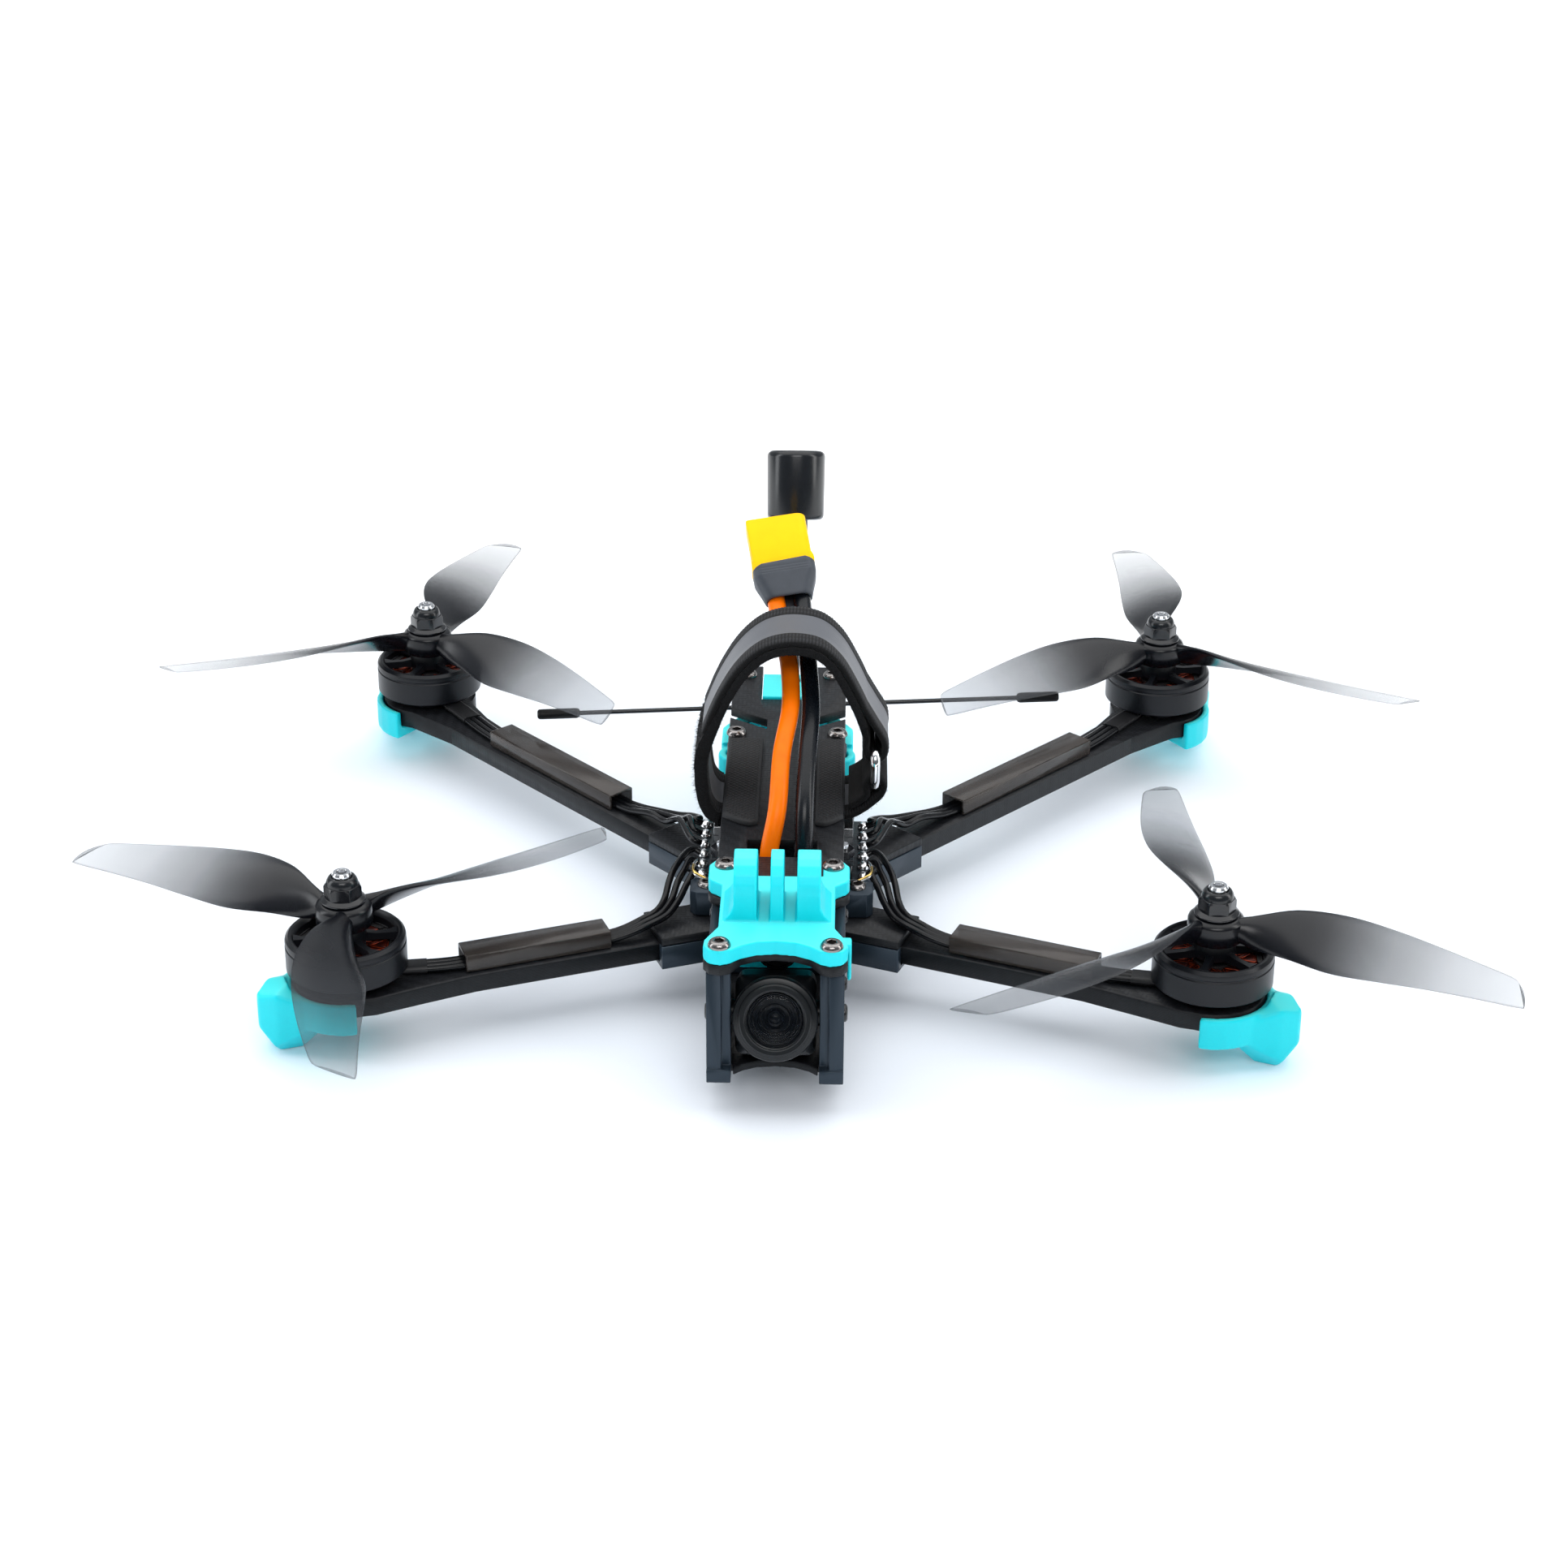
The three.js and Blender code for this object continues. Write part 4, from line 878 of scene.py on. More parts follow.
def make_screws():
    heads = Piece("screw")
    mount_top, plate_top = 44.8, 40.8
    places = [((x, y, mount_top), (0, 0, 1), 1.0) for x in (-13, 13) for y in (-116.1, -76)]
    places += [((x, 7.8, plate_top), (0, 0, 1), 1.0) for x in (-13.4, 13.4)]
    places += [((x, 45.5, plate_top), (0, 0, 1), 0.9) for x in (-11.5, 11.5)]
    places += [((x, -50.7, 26), (0, 0, 1), 0.85) for x in (-18.9, 18.9)]
    places += [((x, y, 8.2), (0, 0, -1), 0.9) for x in (-10.5, 10.5) for y in (-104, -80, -62, -50, -6, 3)]
    for at, axis, size in places:
        turn = Matrix.Rotation(random.uniform(0, 1.0), 4, "Z")
        heads.add(button_screw(), 0, upright_at(at, axis) @ turn @ Matrix.Scale(size, 4))
    for corner in CORNERS:
        middle = motor_place(corner)
        arm = FRONT_ARM if corner.startswith("front") else REAR_ARM
        side = side_of(corner)
        for spread in (-135, 135):
            angle = math.radians(arm["angle"] + spread)
            at = middle + Vector((side * 8.6 * math.cos(angle), 8.6 * math.sin(angle), 11.7))
            heads.add(button_screw(), 0, upright_at(at, (0, 0, -1)) @ Matrix.Scale(0.8, 4))
    heads.finish("frame_screws", "airframe", "ring_chrome")
    dark = Piece("nut")
    for side in (-1, 1):
        for y, z, size in ((-106.7, 21.9, 0.8), (-80.5, 15, 0.65), (-80, 33.5, 0.65)):
            dark.add(button_screw(height=1.0), 0, upright_at((side * 16.1, y, z), (side, 0, 0))
                @ Matrix.Scale(size, 4))
    dark.finish("cage_screws", "airframe", "nut_black")


def make_frame():
    for node in ("bottom_plate", "mid_plate", "top_plate"):
        refined(node, "carbon", edge=0.28, segments=2)
    for corner in CORNERS:
        refined("arm_" + corner, "carbon_" + corner, edge=0.55, segments=2)
        refined("wire_cover_" + corner, "cover", edge=0.35, segments=3)
        softened("bumper_" + corner, "cyan", 0.36, 26)
    # painted edge highlight: the arm core's chamfers take the brighter chamfer material
    refined("arm_core", "slate", "edge", edge=0.35, segments=2, edge_material=1)
    for side in ("left", "right"):
        refined("cage_plate_" + side, "slate", "edge", edge=0.4, segments=3)
        refined("rear_standoff_" + side, "slate", edge=0.2)
    softened("finger_mount", "cyan", 0.3, 6)
    softened("tail_mount", "cyan", 0.36, 6)
    softened("capacitor_holder", "cyan", 0.36, 3)
    make_screws()


# ---------------------------------------------------------------- motors and propellers
def make_motor(corner):
    place = motor_place(corner)
    rotor = "rotor_" + corner
    bell = Piece("bell", "bright", "stator")
    top = 28.6
    wall = [(12.3, 19.4), (14.35, 19.4), (14.75, 19.8), (14.75, 25.9), (14.5, 26.15), (14.5, 26.45),
        (14.7, 26.7), (14.7, 27.4), (14.55, 27.9), (13.85, top), (13.2, top), (12.75, 28.2), (12.3, 27.4),
        (12.3, 19.4)]
    bell.add(lathe(wall, 96))
    hub = [(0, 17.4), (2.4, 17.4), (2.4, 25.9), (4.3, 25.9), (5.2, 26.6), (5.2, 28.4), (4.8, 30.3),
        (4.4, 30.7), (2.4, 30.7), (2.4, 30.9), (0, 30.9)]
    bell.add(lathe(hub, 40))
    for i in range(6):
        # each spoke widens into the rim and stands a little proud of the wall's inner edge
        sections = []
        for out, half, low, high in ((4.4, 1.3, 26.2, 28.6), (7.5, 0.95, 26.3, 28.0),
                                     (10.5, 1.1, 26.2, 28.0), (12.6, 2.1, 26.0, 28.35)):
            sections.append([(out, -half, low), (out, half, low), (out, half * 0.72, high),
                (out, -half * 0.72, high)])
        bell.add(loft(sections), 0, spin(60 * i + 12))
    for i in range(14):
        bell.add(block((11.98, 12.35), (-2.3, 2.3), (20.2, 25.6)), 2, spin(360 * i / 14))
    shaft = [(0, 30.5), (2.4, 30.5), (2.4, 44.5), (2.0, 45.1), (1.3, 45.1), (1.2, 44.9), (1.15, 43.2),
        (0, 43.1)]
    bell.add(lathe(shaft, 36), 1)
    bell.add(lathe([(0, 43.9), (1.2, 43.9), (1.2, 44.0), (0, 44.0)], 18), 0)
    bell.finish("motor_bell_turned_" + corner, rotor, "motor_bell", ["motor_bell_" + corner], place,
        0.1, 2, 28)

    base = Piece("bell", "copper", "stator", "screw")
    foot = [(2.8, 17), (7.4, 17), (7.7, 17.3), (7.7, 18.5), (5, 19.2), (5, 20.4), (2.8, 20.4), (2.8, 17)]
    base.add(lathe(foot, 48))
    heading = (FRONT_ARM if corner.startswith("front") else REAR_ARM)["angle"]
    for i in range(4):
        turn = spin(45 + heading + 90 * i)
        base.add(prism([(4, -3.1), (9.4, -2.7), (10.2, -1.6), (10.2, 1.6), (9.4, 2.7), (4, 3.1)], 17, 18.7),
            0, turn)
        base.add(button_screw(1.2, 0.5, 0.5, 18), 3, turn @ Matrix.Translation((8.3, 0, 18.6)))
    base.add(lathe([(2.8, 20.2), (4.9, 20.2), (4.9, 25.4), (2.8, 25.4), (2.8, 20.2)], 36), 2)
    for i in range(12):
        turn = spin(30 * i)
        # the coil is a rounded loop about its tooth, fuller towards the rim
        coil = []
        for out, half, reach in ((4.7, 1.05, 1.7), (5.2, 1.25, 2.2), (7.8, 1.85, 2.6), (9.9, 2.35, 2.7),
                                 (10.35, 2.1, 2.4)):
            coil.append([(out, u, 22.9 + v) for u, v in rounded_plan(2 * half, 2 * reach, (0.8,) * 4, 3)])
        base.add(loft(coil), 1, turn)
        tooth = [(10.5, -2.3), (11.25, -2.75), (11.75, -2.7), (11.8, 0), (11.75, 2.7), (11.25, 2.75),
            (10.5, 2.3)]
        base.add(prism(tooth, 20.4, 25.4), 2, turn)
        red = smooth_line([(6.2, -1.2, 25.5), (8.1, 0.4, 25.8), (9.9, 2.0, 25.5)], 4)
        base.add(sweep(red, polygon(6, 0.2)), 1, turn)
    base.finish("motor_stator_wound_" + corner, "airframe", "motor_windings", ["motor_stator_" + corner],
        place, 0.0, 2, 40)

    nut = Piece("nut", "gloss")
    flange = [(2.7, 37.5), (5.3, 37.5), (5.5, 37.65), (5.5, 37.95), (5.2, 38.2), (4.5, 38.75), (2.7, 38.75),
        (2.7, 37.5)]
    nut.add(lathe(flange, 48))
    six = 48
    rows = []
    for height, limit in ((38.4, 4.75), (41.1, 4.75), (41.9, 4.15)):
        row = []
        for i in range(six):
            angle = 2 * math.pi * i / six
            flat = 4.05 / math.cos(angle % (math.pi / 3) - math.pi / 6)
            reach = min(flat, limit)
            row.append((reach * math.cos(angle), reach * math.sin(angle), height))
        rows.append(row)
    rows += [[(x, y, z) for x, y in polygon(six, 2.7)] for z in (41.9, 38.4)]
    nut.add(loft(rows, closed=True))
    ring = [(2.55, 41.8), (3.95, 41.8), (3.95, 42.2), (3.7, 43.1), (3.3, 43.75), (2.9, 44.0), (2.55, 43.95),
        (2.55, 41.8)]
    nut.add(lathe(ring, 40), 1)
    nut.finish("propeller_nut_hex_" + corner, rotor, "nut_black", ["propeller_nut_" + corner], place,
        0.12, 2, 28)


PROP_PITCH, BLADE_PLANE = 88.9, 34.2
# Stations out along a blade: radius, chord, how far the leading edge is ahead of the radius, thickness.
BLADE_STATIONS = [(5.4, 6.0, 3.0, 4.8), (7.6, 7.0, 3.6, 3.6), (10, 8.5, 4.5, 2.6), (19, 13.5, 8.4, 1.9),
    (30.5, 17.8, 10.5, 1.6), (42, 17.4, 10, 1.4), (53.5, 15, 8, 1.2), (65, 12.2, 5.2, 1.1),
    (74, 9.9, 2.7, 0.9), (76.2, 8.8, 1.8, 0.8)]
TIP_RAKE = 3.4  # how far the leading corner of the tip is cut back
FIRST_BLADE = {"front_left": 35, "front_right": 97, "rear_left": 80, "rear_right": 91}
CLOCKWISE = ("front_left", "rear_right")


def blade_between(radius):
    """Chord, lead and thickness at a radius, along a smooth curve through the stations."""
    spans = list(zip(BLADE_STATIONS, BLADE_STATIONS[1:]))
    k = next((i for i, (a, b) in enumerate(spans) if radius <= b[0]), len(spans) - 1)
    a, b = spans[k]
    before = BLADE_STATIONS[max(k - 1, 0)]
    after = BLADE_STATIONS[min(k + 2, len(BLADE_STATIONS) - 1)]
    t = (radius - a[0]) / (b[0] - a[0])
    values = []
    for j in (1, 2, 3):
        slope_a = (b[j] - before[j]) / (b[0] - before[0])
        slope_b = (after[j] - a[j]) / (after[0] - a[0])
        span = b[0] - a[0]
        values.append((2 * t**3 - 3 * t**2 + 1) * a[j] + (t**3 - 2 * t**2 + t) * span * slope_a
                      + (-2 * t**3 + 3 * t**2) * b[j] + (t**3 - t**2) * span * slope_b)
    return values


BLADE_SIDE = 9  # steps from a blade's leading edge to its trailing edge


def blade_section(radius):
    chord, lead, thickness = blade_between(radius)
    pitch = math.atan2(PROP_PITCH, 2 * math.pi * radius)
    cut = max(0.0, (radius - 69) / 7.2) ** 2 * TIP_RAKE
    camber = 0.05 * chord
    shares = [(1 - math.cos(math.pi * i / BLADE_SIDE)) / 2 for i in range(BLADE_SIDE + 1)]
    ring, edges = [], []
    for share, side in [(s, 1) for s in shares] + [(s, -1) for s in shares[-2:0:-1]]:
        bulge = 4 * share * (1 - share)
        along = lead - chord * share
        above = camber * bulge + side * thickness * math.sqrt(bulge) / 2
        ring.append((radius - cut * (1 - share) ** 1.7, along * math.cos(pitch) - above * math.sin(pitch),
                     BLADE_PLANE + along * math.sin(pitch) + above * math.cos(pitch)))
        edges.append(max(0.0, 1 - min(share, 1 - share) * chord / 0.9))
    return ring, edges


def make_propeller(corner):
    prop = Piece("blade")
    radii = [5.4 + 0.5 * i for i in range(6)] + [8.6 + 1.9 * i for i in range(35)]
    radii += [74.8, 75.7, PROP_RADIUS]
    made = [blade_section(r) for r in radii]
    edge_of = {}
    flip = Matrix.Scale(-1, 4, (0, 1, 0)) if corner in CLOCKWISE else Matrix.Identity(4)
    for i in range(3):
        turn = spin(FIRST_BLADE[corner] + 120 * i) @ flip
        corners = prop.add(loft([ring for ring, _ in made]), 0, turn)
        for vert, value in zip(corners, [e for _, edges in made for e in edges]):
            edge_of[vert] = value
        # the tip's end face is all edge, so it is painted as a dark outline
        for vert in corners[-len(made[-1][0]):]:
            edge_of[vert] = 1.0
    hub = [(2.75, 31), (6.4, 31), (6.85, 31.4), (6.85, 35.9), (6.6, 36.5), (6.0, 36.9), (5.6, 37.2),
        (3.3, 37.2), (3.1, 36.9), (2.75, 36.9), (2.75, 31)]
    for vert in prop.add(lathe(hub, 64)):
        edge_of[vert] = 0.0
    prop.mesh.verts.index_update()
    values = [edge_of[v] for v in prop.mesh.verts]
    obj = prop.finish("propeller_blades_" + corner, "rotor_" + corner, "propeller_smoke",
        ["propeller_" + corner], motor_place(corner), 0.0, 2, 50)
    edge = obj.data.attributes.new("edge", "FLOAT", "POINT")
    edge.data.foreach_set("value", values)


# ---------------------------------------------------------------- motor wires
FRONT_WIRES = [(94.9, -81.6, 18.05), (90, -80.9, 18.05), (*on_arm(FRONT_ARM, 21), 18.05),
    (*on_arm(FRONT_ARM, 0), 18.05), (*on_arm(FRONT_ARM, -18.4), 18.05), (38.6, -63.3, 19.2),
    (33.6, -61.1, 20.8), (29.9, -57.6, 21.4), (27.7, -52.2, 22.4), (26.4, -47, 24.5), (24.9, -42.4, 26.2),
    (23.9, -38.6, 26.2)]
REAR_WIRES = [
    (98.9, 74.6, 18.05), (95, 69.4, 18.05), (*on_arm(REAR_ARM, 30), 18.05), (*on_arm(REAR_ARM, 0), 18.05),
    (*on_arm(REAR_ARM, -26.8), 18.05), (40.4, 6.2, 18.8), (34.6, 0.2, 20.7), (30, -4.6, 21.6),
    (26.9, -9.2, 24), (24.9, -14, 26.1), (23.9, -18.6, 26.2),
]


WIRE_PITCH, WIRE_RADIUS, PAD_PITCH = 1.75, 0.86, 5.6


def make_motor_wires(corner):
    at_front = corner.startswith("front")
    points = FRONT_WIRES if at_front else REAR_WIRES
    side = side_of(corner)
    first_pad = -37.4 if at_front else -20.6  # the middle one of the motor's three solder pads
    wires = Piece("wire", "shrink")
    straight = smooth_line([(side * x, y, z) for x, y, z in points], 7)
    for lane in (-1, 0, 1):
        ribbon = []
        count = 4 if at_front else 5  # the last points, where the wires leave the ribbon
        ways = directions([Vector((side * x, y, z)) for x, y, z in points])
        for (x, y, z), along in list(zip(points, ways))[:-count]:
            across = Vector((-along.y, along.x, 0)).normalized() * side
            ribbon.append(Vector((side * x, y, z)) + across * lane * WIRE_PITCH)
        for k, ((x, y, z), along) in enumerate(list(zip(points, ways))[-count:]):
            across = Vector((-along.y, along.x, 0)).normalized() * side
            spread = WIRE_PITCH + 0.25 * (k + 1)
            lift = 0.35 * math.sin(2.4 * k + 1.7 * lane)
            ribbon.append(Vector((side * x, y, z + lift)) + across * lane * spread)
        ribbon = ribbon[:-1]
        pad = first_pad - PAD_PITCH * lane
        ribbon.append(Vector((side * 23.4, pad - 0.2 * lane, 26.2)))
        ribbon.append(Vector((side * 21.3, pad, 25.2)))
        line = smooth_line(ribbon, 7)
        wires.add(sweep(line, polygon(14, WIRE_RADIUS)))
    wires.add(sweep(straight[3:11], rounded_plan(5.5, 2.1, (1.0,) * 4, 5)), 1)
    wires.finish("motor_wires_bundle_" + corner, "airframe", "wire_black", ["motor_wires_" + corner])


# ---------------------------------------------------------------- camera
def make_camera_unit():
    place = Matrix.Translation(CAMERA_PIVOT) @ Matrix.Rotation(math.radians(-CAMERA_TILT), 4, "X")
    shell = Piece("camera", "screw", "case")
    body = [[(x, y, z) for x, z in rounded_plan(w, h, (2.2,) * 4, 6)]
            for y, w, h in ((7.0, 15.8, 15.8), (6.2, 18.4, 18.4), (-3.2, 19, 19), (-4.2, 19, 19),
                            (-6.0, 17.2, 17.2), (-7.0, 15.0, 15.0))]
    shell.add(loft(body), 0, place)
    for side in (-1, 1):
        boss = [(0, 9.2), (3.1, 9.2), (3.1, 10.6), (2.4, 10.9), (2.4, 13.2), (0, 13.2)]
        shell.add(lathe(boss, 28), 0, place @ upright_at((0, 0, 0), (side, 0, 0)))
    for x in (-7.2, 7.2):
        for z in (-7.2, 7.2):
            shell.add(button_screw(0.9, 0.4, 0.36, 18), 1, place @ upright_at((x, 6.6, z), (0, 1, 0)))
    shell.add(block((-4, 4), (6.6, 8.4), (-6.5, -2.6)), 2, place)
    shell.finish("camera_shell", "camera", "black_plastic", ["camera_body"], edge=0.15)

    lens = Piece("camera", "lens", "glass", "bright")
    outwards = place @ upright_at((0, 0, 0), (0, -1, 0))
    ring = [(0, 3.3), (7.6, 3.3), (7.6, 6.2), (9.3, 6.2), (9.85, 6.6), (10.05, 7.2), (10.05, 8.2),
        (9.75, 8.35), (9.75, 8.7), (10.05, 8.85), (10.05, 10.4), (9.8, 10.9), (9.0, 11.15), (8.75, 11.3),
        (8.6, 11.75), (8.2, 12.0), (7.35, 12.0), (7.1, 11.8), (7.0, 11.2), (6.75, 11.1), (6.6, 10.7),
        (6.5, 10.2)]
    lens.add(lathe(ring, 80), 0, outwards)
    well = [(6.6, 10.3), (5.9, 9.9), (5.7, 9.7), (4.2, 9.4), (4.1, 9.1), (2.6, 8.8), (2.5, 8.4), (0, 8.4)]
    lens.add(lathe(well, 64), 1, outwards)
    lens.add(lathe([(0, 8.3), (1.9, 8.3), (2.05, 8.8), (1.85, 9.2), (1.45, 9.25), (1.3, 9.15), (1.0, 9.4),
        (0.5, 9.55), (0, 9.6)], 48), 1, outwards)
    for radius, height in ((6.15, 10.1), (5.2, 9.65), (3.4, 9.2)):
        band = [(radius - 0.14, height), (radius + 0.14, height), (radius + 0.1, height + 0.22),
                (radius - 0.1, height + 0.22), (radius - 0.14, height)]
        lens.add(lathe(band, 64), 0, outwards)
    dome = [(0, 10.55), (6.5, 10.25), (6.5, 10.4)]
    dome += [(6.5 * math.cos(math.radians(a)), 10.4 + 0.95 * math.sin(math.radians(a)))
             for a in (20, 40, 60, 75)]
    lens.add(lathe([*dome, (0, 11.35)], 64), 2, outwards)
    lens.finish("camera_lens_barrel", "camera", "lens_glass", ["camera_lens"], edge=0.0, sharp=28)


# ---------------------------------------------------------------- electronics
def make_electronics():
    esc = Piece("board", "chip", "solder", "brass", "case")
    esc.add(block((-21.5, 21.5), (-45, -11), (23, 24.6)))
    for side in (-1, 1):
        for i in range(6):
            y = -43 + 5.6 * i
            squash = random.uniform(0.85, 1.15)
            blob = [(0, 24.5), (1.4, 24.5), (1.55, 24.9), (1.35, 25.6), (0.8, 26.1), (0, 26.25)]
            at = Matrix.Translation((side * 20.4, y, 0)) @ Matrix.Diagonal((squash, 1.15 * squash, 1, 1))
            esc.add(lathe(blob, 16), 2, at)
        for i in range(4):
            y = -38 + 6.4 * i
            esc.add(block((side * 12 - 2.4, side * 12 + 2.4), (y - 2.2, y + 2.2), (24.6, 25.7)), 1)
            esc.add(block((side * 16.8 - 0.8, side * 16.8 + 0.8), (y - 1.4, y + 1.4), (24.6, 25.5)), 4)
        for i in range(8):
            x, y = side * 7.5, -42 + 3.6 * i
            esc.add(block((x - 0.5, x + 0.5), (y - 0.9, y + 0.9), (24.6, 25.1)), 3)
        for lane in (0, 1):
            start = (side * (17.6 - 1.5 * lane), -45.2, 25.0)
            bend = [start, (side * (19 - lane), -47.6, 25.8), (side * 22.0, -46.2, 26.6 + 0.5 * lane),
                    (side * 22.6, -41.6, 26.9), (side * 21.8, -36.8, 25.9)]
            esc.add(sweep(smooth_line(bend, 6), polygon(8, 0.42)), 3 if lane else 2)
    for x in (-4.2, 4.6):
        esc.add(lathe([(0, 24.5), (3.1, 24.5), (3.3, 25.2), (2.6, 26.1), (0, 26.4)], 20), 2,
                Matrix.Translation((x, -44.6, 0)) @ Matrix.Diagonal((1, 0.7, 1, 1)))
    esc.finish("esc_board_fitted", "airframe", "circuit_board", ["esc_board"], edge=0.12, sharp=40)

    controller = Piece("board", "chip", "bright", "case", "nut")
    controller.add(block((-18, 18), (-46, -10), (29.4, 31)))
    controller.add(block((-4, 4), (-32, -24), (31, 32.2)), 1)
    controller.add(block((-13, -8.5), (-34, -29.5), (31, 31.9)), 1)
    controller.add(block((8, 12), (-26, -22), (31, 31.8)), 1)
    for side in (-1, 1):
        controller.add(block((side * 16.2 - 1.6, side * 16.2 + 1.6), (-33, -23), (31, 33.4)), 2)
        for i in range(9):
            run = (-41 + 3.1 * i, -39.8 + 3.1 * i)
            controller.add(block((side * 10 - 0.5, side * 10 + 0.5), run, (31, 31.5)), 3)
    for x in (-15.25, 15.25):
        for y in (-43.25, -12.75):
            at = Matrix.Translation((x, y, 0))
            controller.add(lathe([(0, 19.5), (2.5, 19.5), (2.5, 29.4), (0, 29.4)], 24), 4, at)
            controller.add(prism(polygon(6, 3.0), 31, 33.2), 4, at)
            controller.add(lathe([(0, 33.2), (1.5, 33.2), (1.4, 34.4), (0, 34.4)], 16), 2, at)
    controller.finish("flight_controller_fitted", "airframe", "circuit_board", ["flight_controller"],
        edge=0.12, sharp=40)

    video = Piece("case", "board", "bright")
    video.add(block((-10.2, 10.2), (-9.4, 11.6), (20, 22)), 1)
    video.add(block((-8.8, 8.8), (-8, 10), (22, 27.1)))
    for k in range(7):
        y = -6.6 + 2.5 * k
        video.add(block((-7.6, 7.6), (y - 0.5, y + 0.5), (27.0, 27.5)), 0)
    video.add(lathe([(0, 0), (1.6, 0), (1.6, 1.9), (0, 1.9)], 20), 2, upright_at((3.4, 9.9, 24), (0, 1, 0)))
    video.finish("video_transmitter_case", "airframe", "electronics_case", ["video_transmitter"], edge=0.18)

    capacitor = Piece("gloss", "case", "bright")
    height = 32.2
    profile = [(0, 76.1), (4.2, 76.1), (4.9, 76.6), (5.0, 77.4), (5.0, 78.6), (4.7, 79.2), (4.7, 79.8),
               (5.0, 80.4), (5.0, 95.6), (4.8, 96.2), (4.3, 96.4), (4.0, 96.1), (0, 96.1)]
    forward = upright_at((0, 0, height), (0, -1, 0))
    capacitor.add(lathe(profile, 48), 0, forward)
    capacitor.add(lathe([(0, 96.0), (3.9, 96.0), (3.7, 96.3), (0, 96.35)], 40), 1, forward)
    for turn in (90, 210, 330):
        ray = [(0.25, -0.13), (3.3, -0.13), (3.3, 0.13), (0.25, 0.13)]
        capacitor.add(prism(ray, 96.34, 96.42), 2,
                      forward @ spin(turn + 25))
    for x in (-1.8, 1.8):
        legs = smooth_line([(x, -76.2, height), (x, -72, height), (x * 1.6, -64, 29), (x * 2, -52, 26.4),
                            (x * 2.2, -46, 25.2)], 5)
        capacitor.add(sweep(legs, polygon(10, 0.75)), 0)
    capacitor.finish("capacitor_can", "airframe", "electronics_case", ["capacitor"], sharp=30)


# ---------------------------------------------------------------- battery strap, ring and pads
UPPER_BAR, LOWER_BAR, RING_WIRE = (23.1, 55.4), (23.1, 45.6), 1.25
BAND_HALF = 0.95  # half the webbing's thickness
# The band's middle line, (x, z): from its sewn end round the lower bar, under the top plate, up the left
# side, over the battery's place and down to the upper bar.
SEWN_LOOP = [(16.9, 39.9), (19.0, 41.1), (21.1, 43.2), (20.8, 45.4), (21.5, 47.3), (23.1, 47.95),
    (25.0, 47.0), (25.45, 45.2), (24.7, 43.2), (23.0, 41.4), (20.4, 39.2), (17.2, 37.3), (14, 36.85)]
INNER_ARCH = [(-14, 36.85), (-17.0, 37.4), (-18.9, 39.8), (-19.7, 43.6), (-20.1, 48.2), (-19.9, 53.0),
    (-17.4, 61.0), (-13.6, 69.9), (-9.2, 76.8), (-4.6, 80.9), (-0.8, 82.3), (2.9, 82.6), (7.9, 81.6),
    (12.0, 78.0), (15.6, 71.9), (19.0, 64.4), (20.9, 58.6)]
BAR_WRAP = [(20.75, 55.6), (21.4, 53.8), (23.1, 53.05), (24.9, 53.8), (25.55, 55.6), (25.3, 57.9),
    (22.75, 62.5)]
LAYER_STEP = 2.05
FIBRES = 7000
FREE_END, WRAP_END = 59.5, 66.5  # heights where the outer layer is cut, on the left, and meets the bar


def band_line():
    """The band's middle line and where its parts begin, as points in the XZ plane."""
    loop = smooth_line([(x, 0, z) for x, z in SEWN_LOOP], 10)
    under = [Vector((14 - 28 * i / 40, 0, 36.85)) for i in range(1, 40)]
    arch = smooth_line([(x, 0, z) for x, z in INNER_ARCH], 12)
    outer = []
    for point, along in zip(arch, directions(arch)):
        raised = point + Vector((-along.z, 0, along.x)) * LAYER_STEP
        if raised.z > (WRAP_END if raised.x > 0 else FREE_END):
            outer.append(raised)
    outer.reverse()
    wrap = smooth_line([(x, 0, z) for x, z in [INNER_ARCH[-1], *BAR_WRAP]] + [outer[0]], 10)[1:-1]
    parts = {"loop": 0, "under": len(loop), "arch": len(loop) + len(under)}
    parts["wrap"] = parts["arch"] + len(arch)
    parts["outer"] = parts["wrap"] + len(wrap)
    return [*loop, *under, *arch, *wrap, *outer], parts


def evenly(line, step):
    """The same line with its points a set distance apart, and the old index at each."""
    points, indices, travelled, want = [line[0]], [0.0], 0.0, step
    for i, (a, b) in enumerate(zip(line, line[1:])):
        length = (b - a).length
        while length > 0 and want <= travelled + length:
            share = (want - travelled) / length
            points.append(a.lerp(b, share))
            indices.append(i + share)
            want += step
        travelled += length
    return points, indices


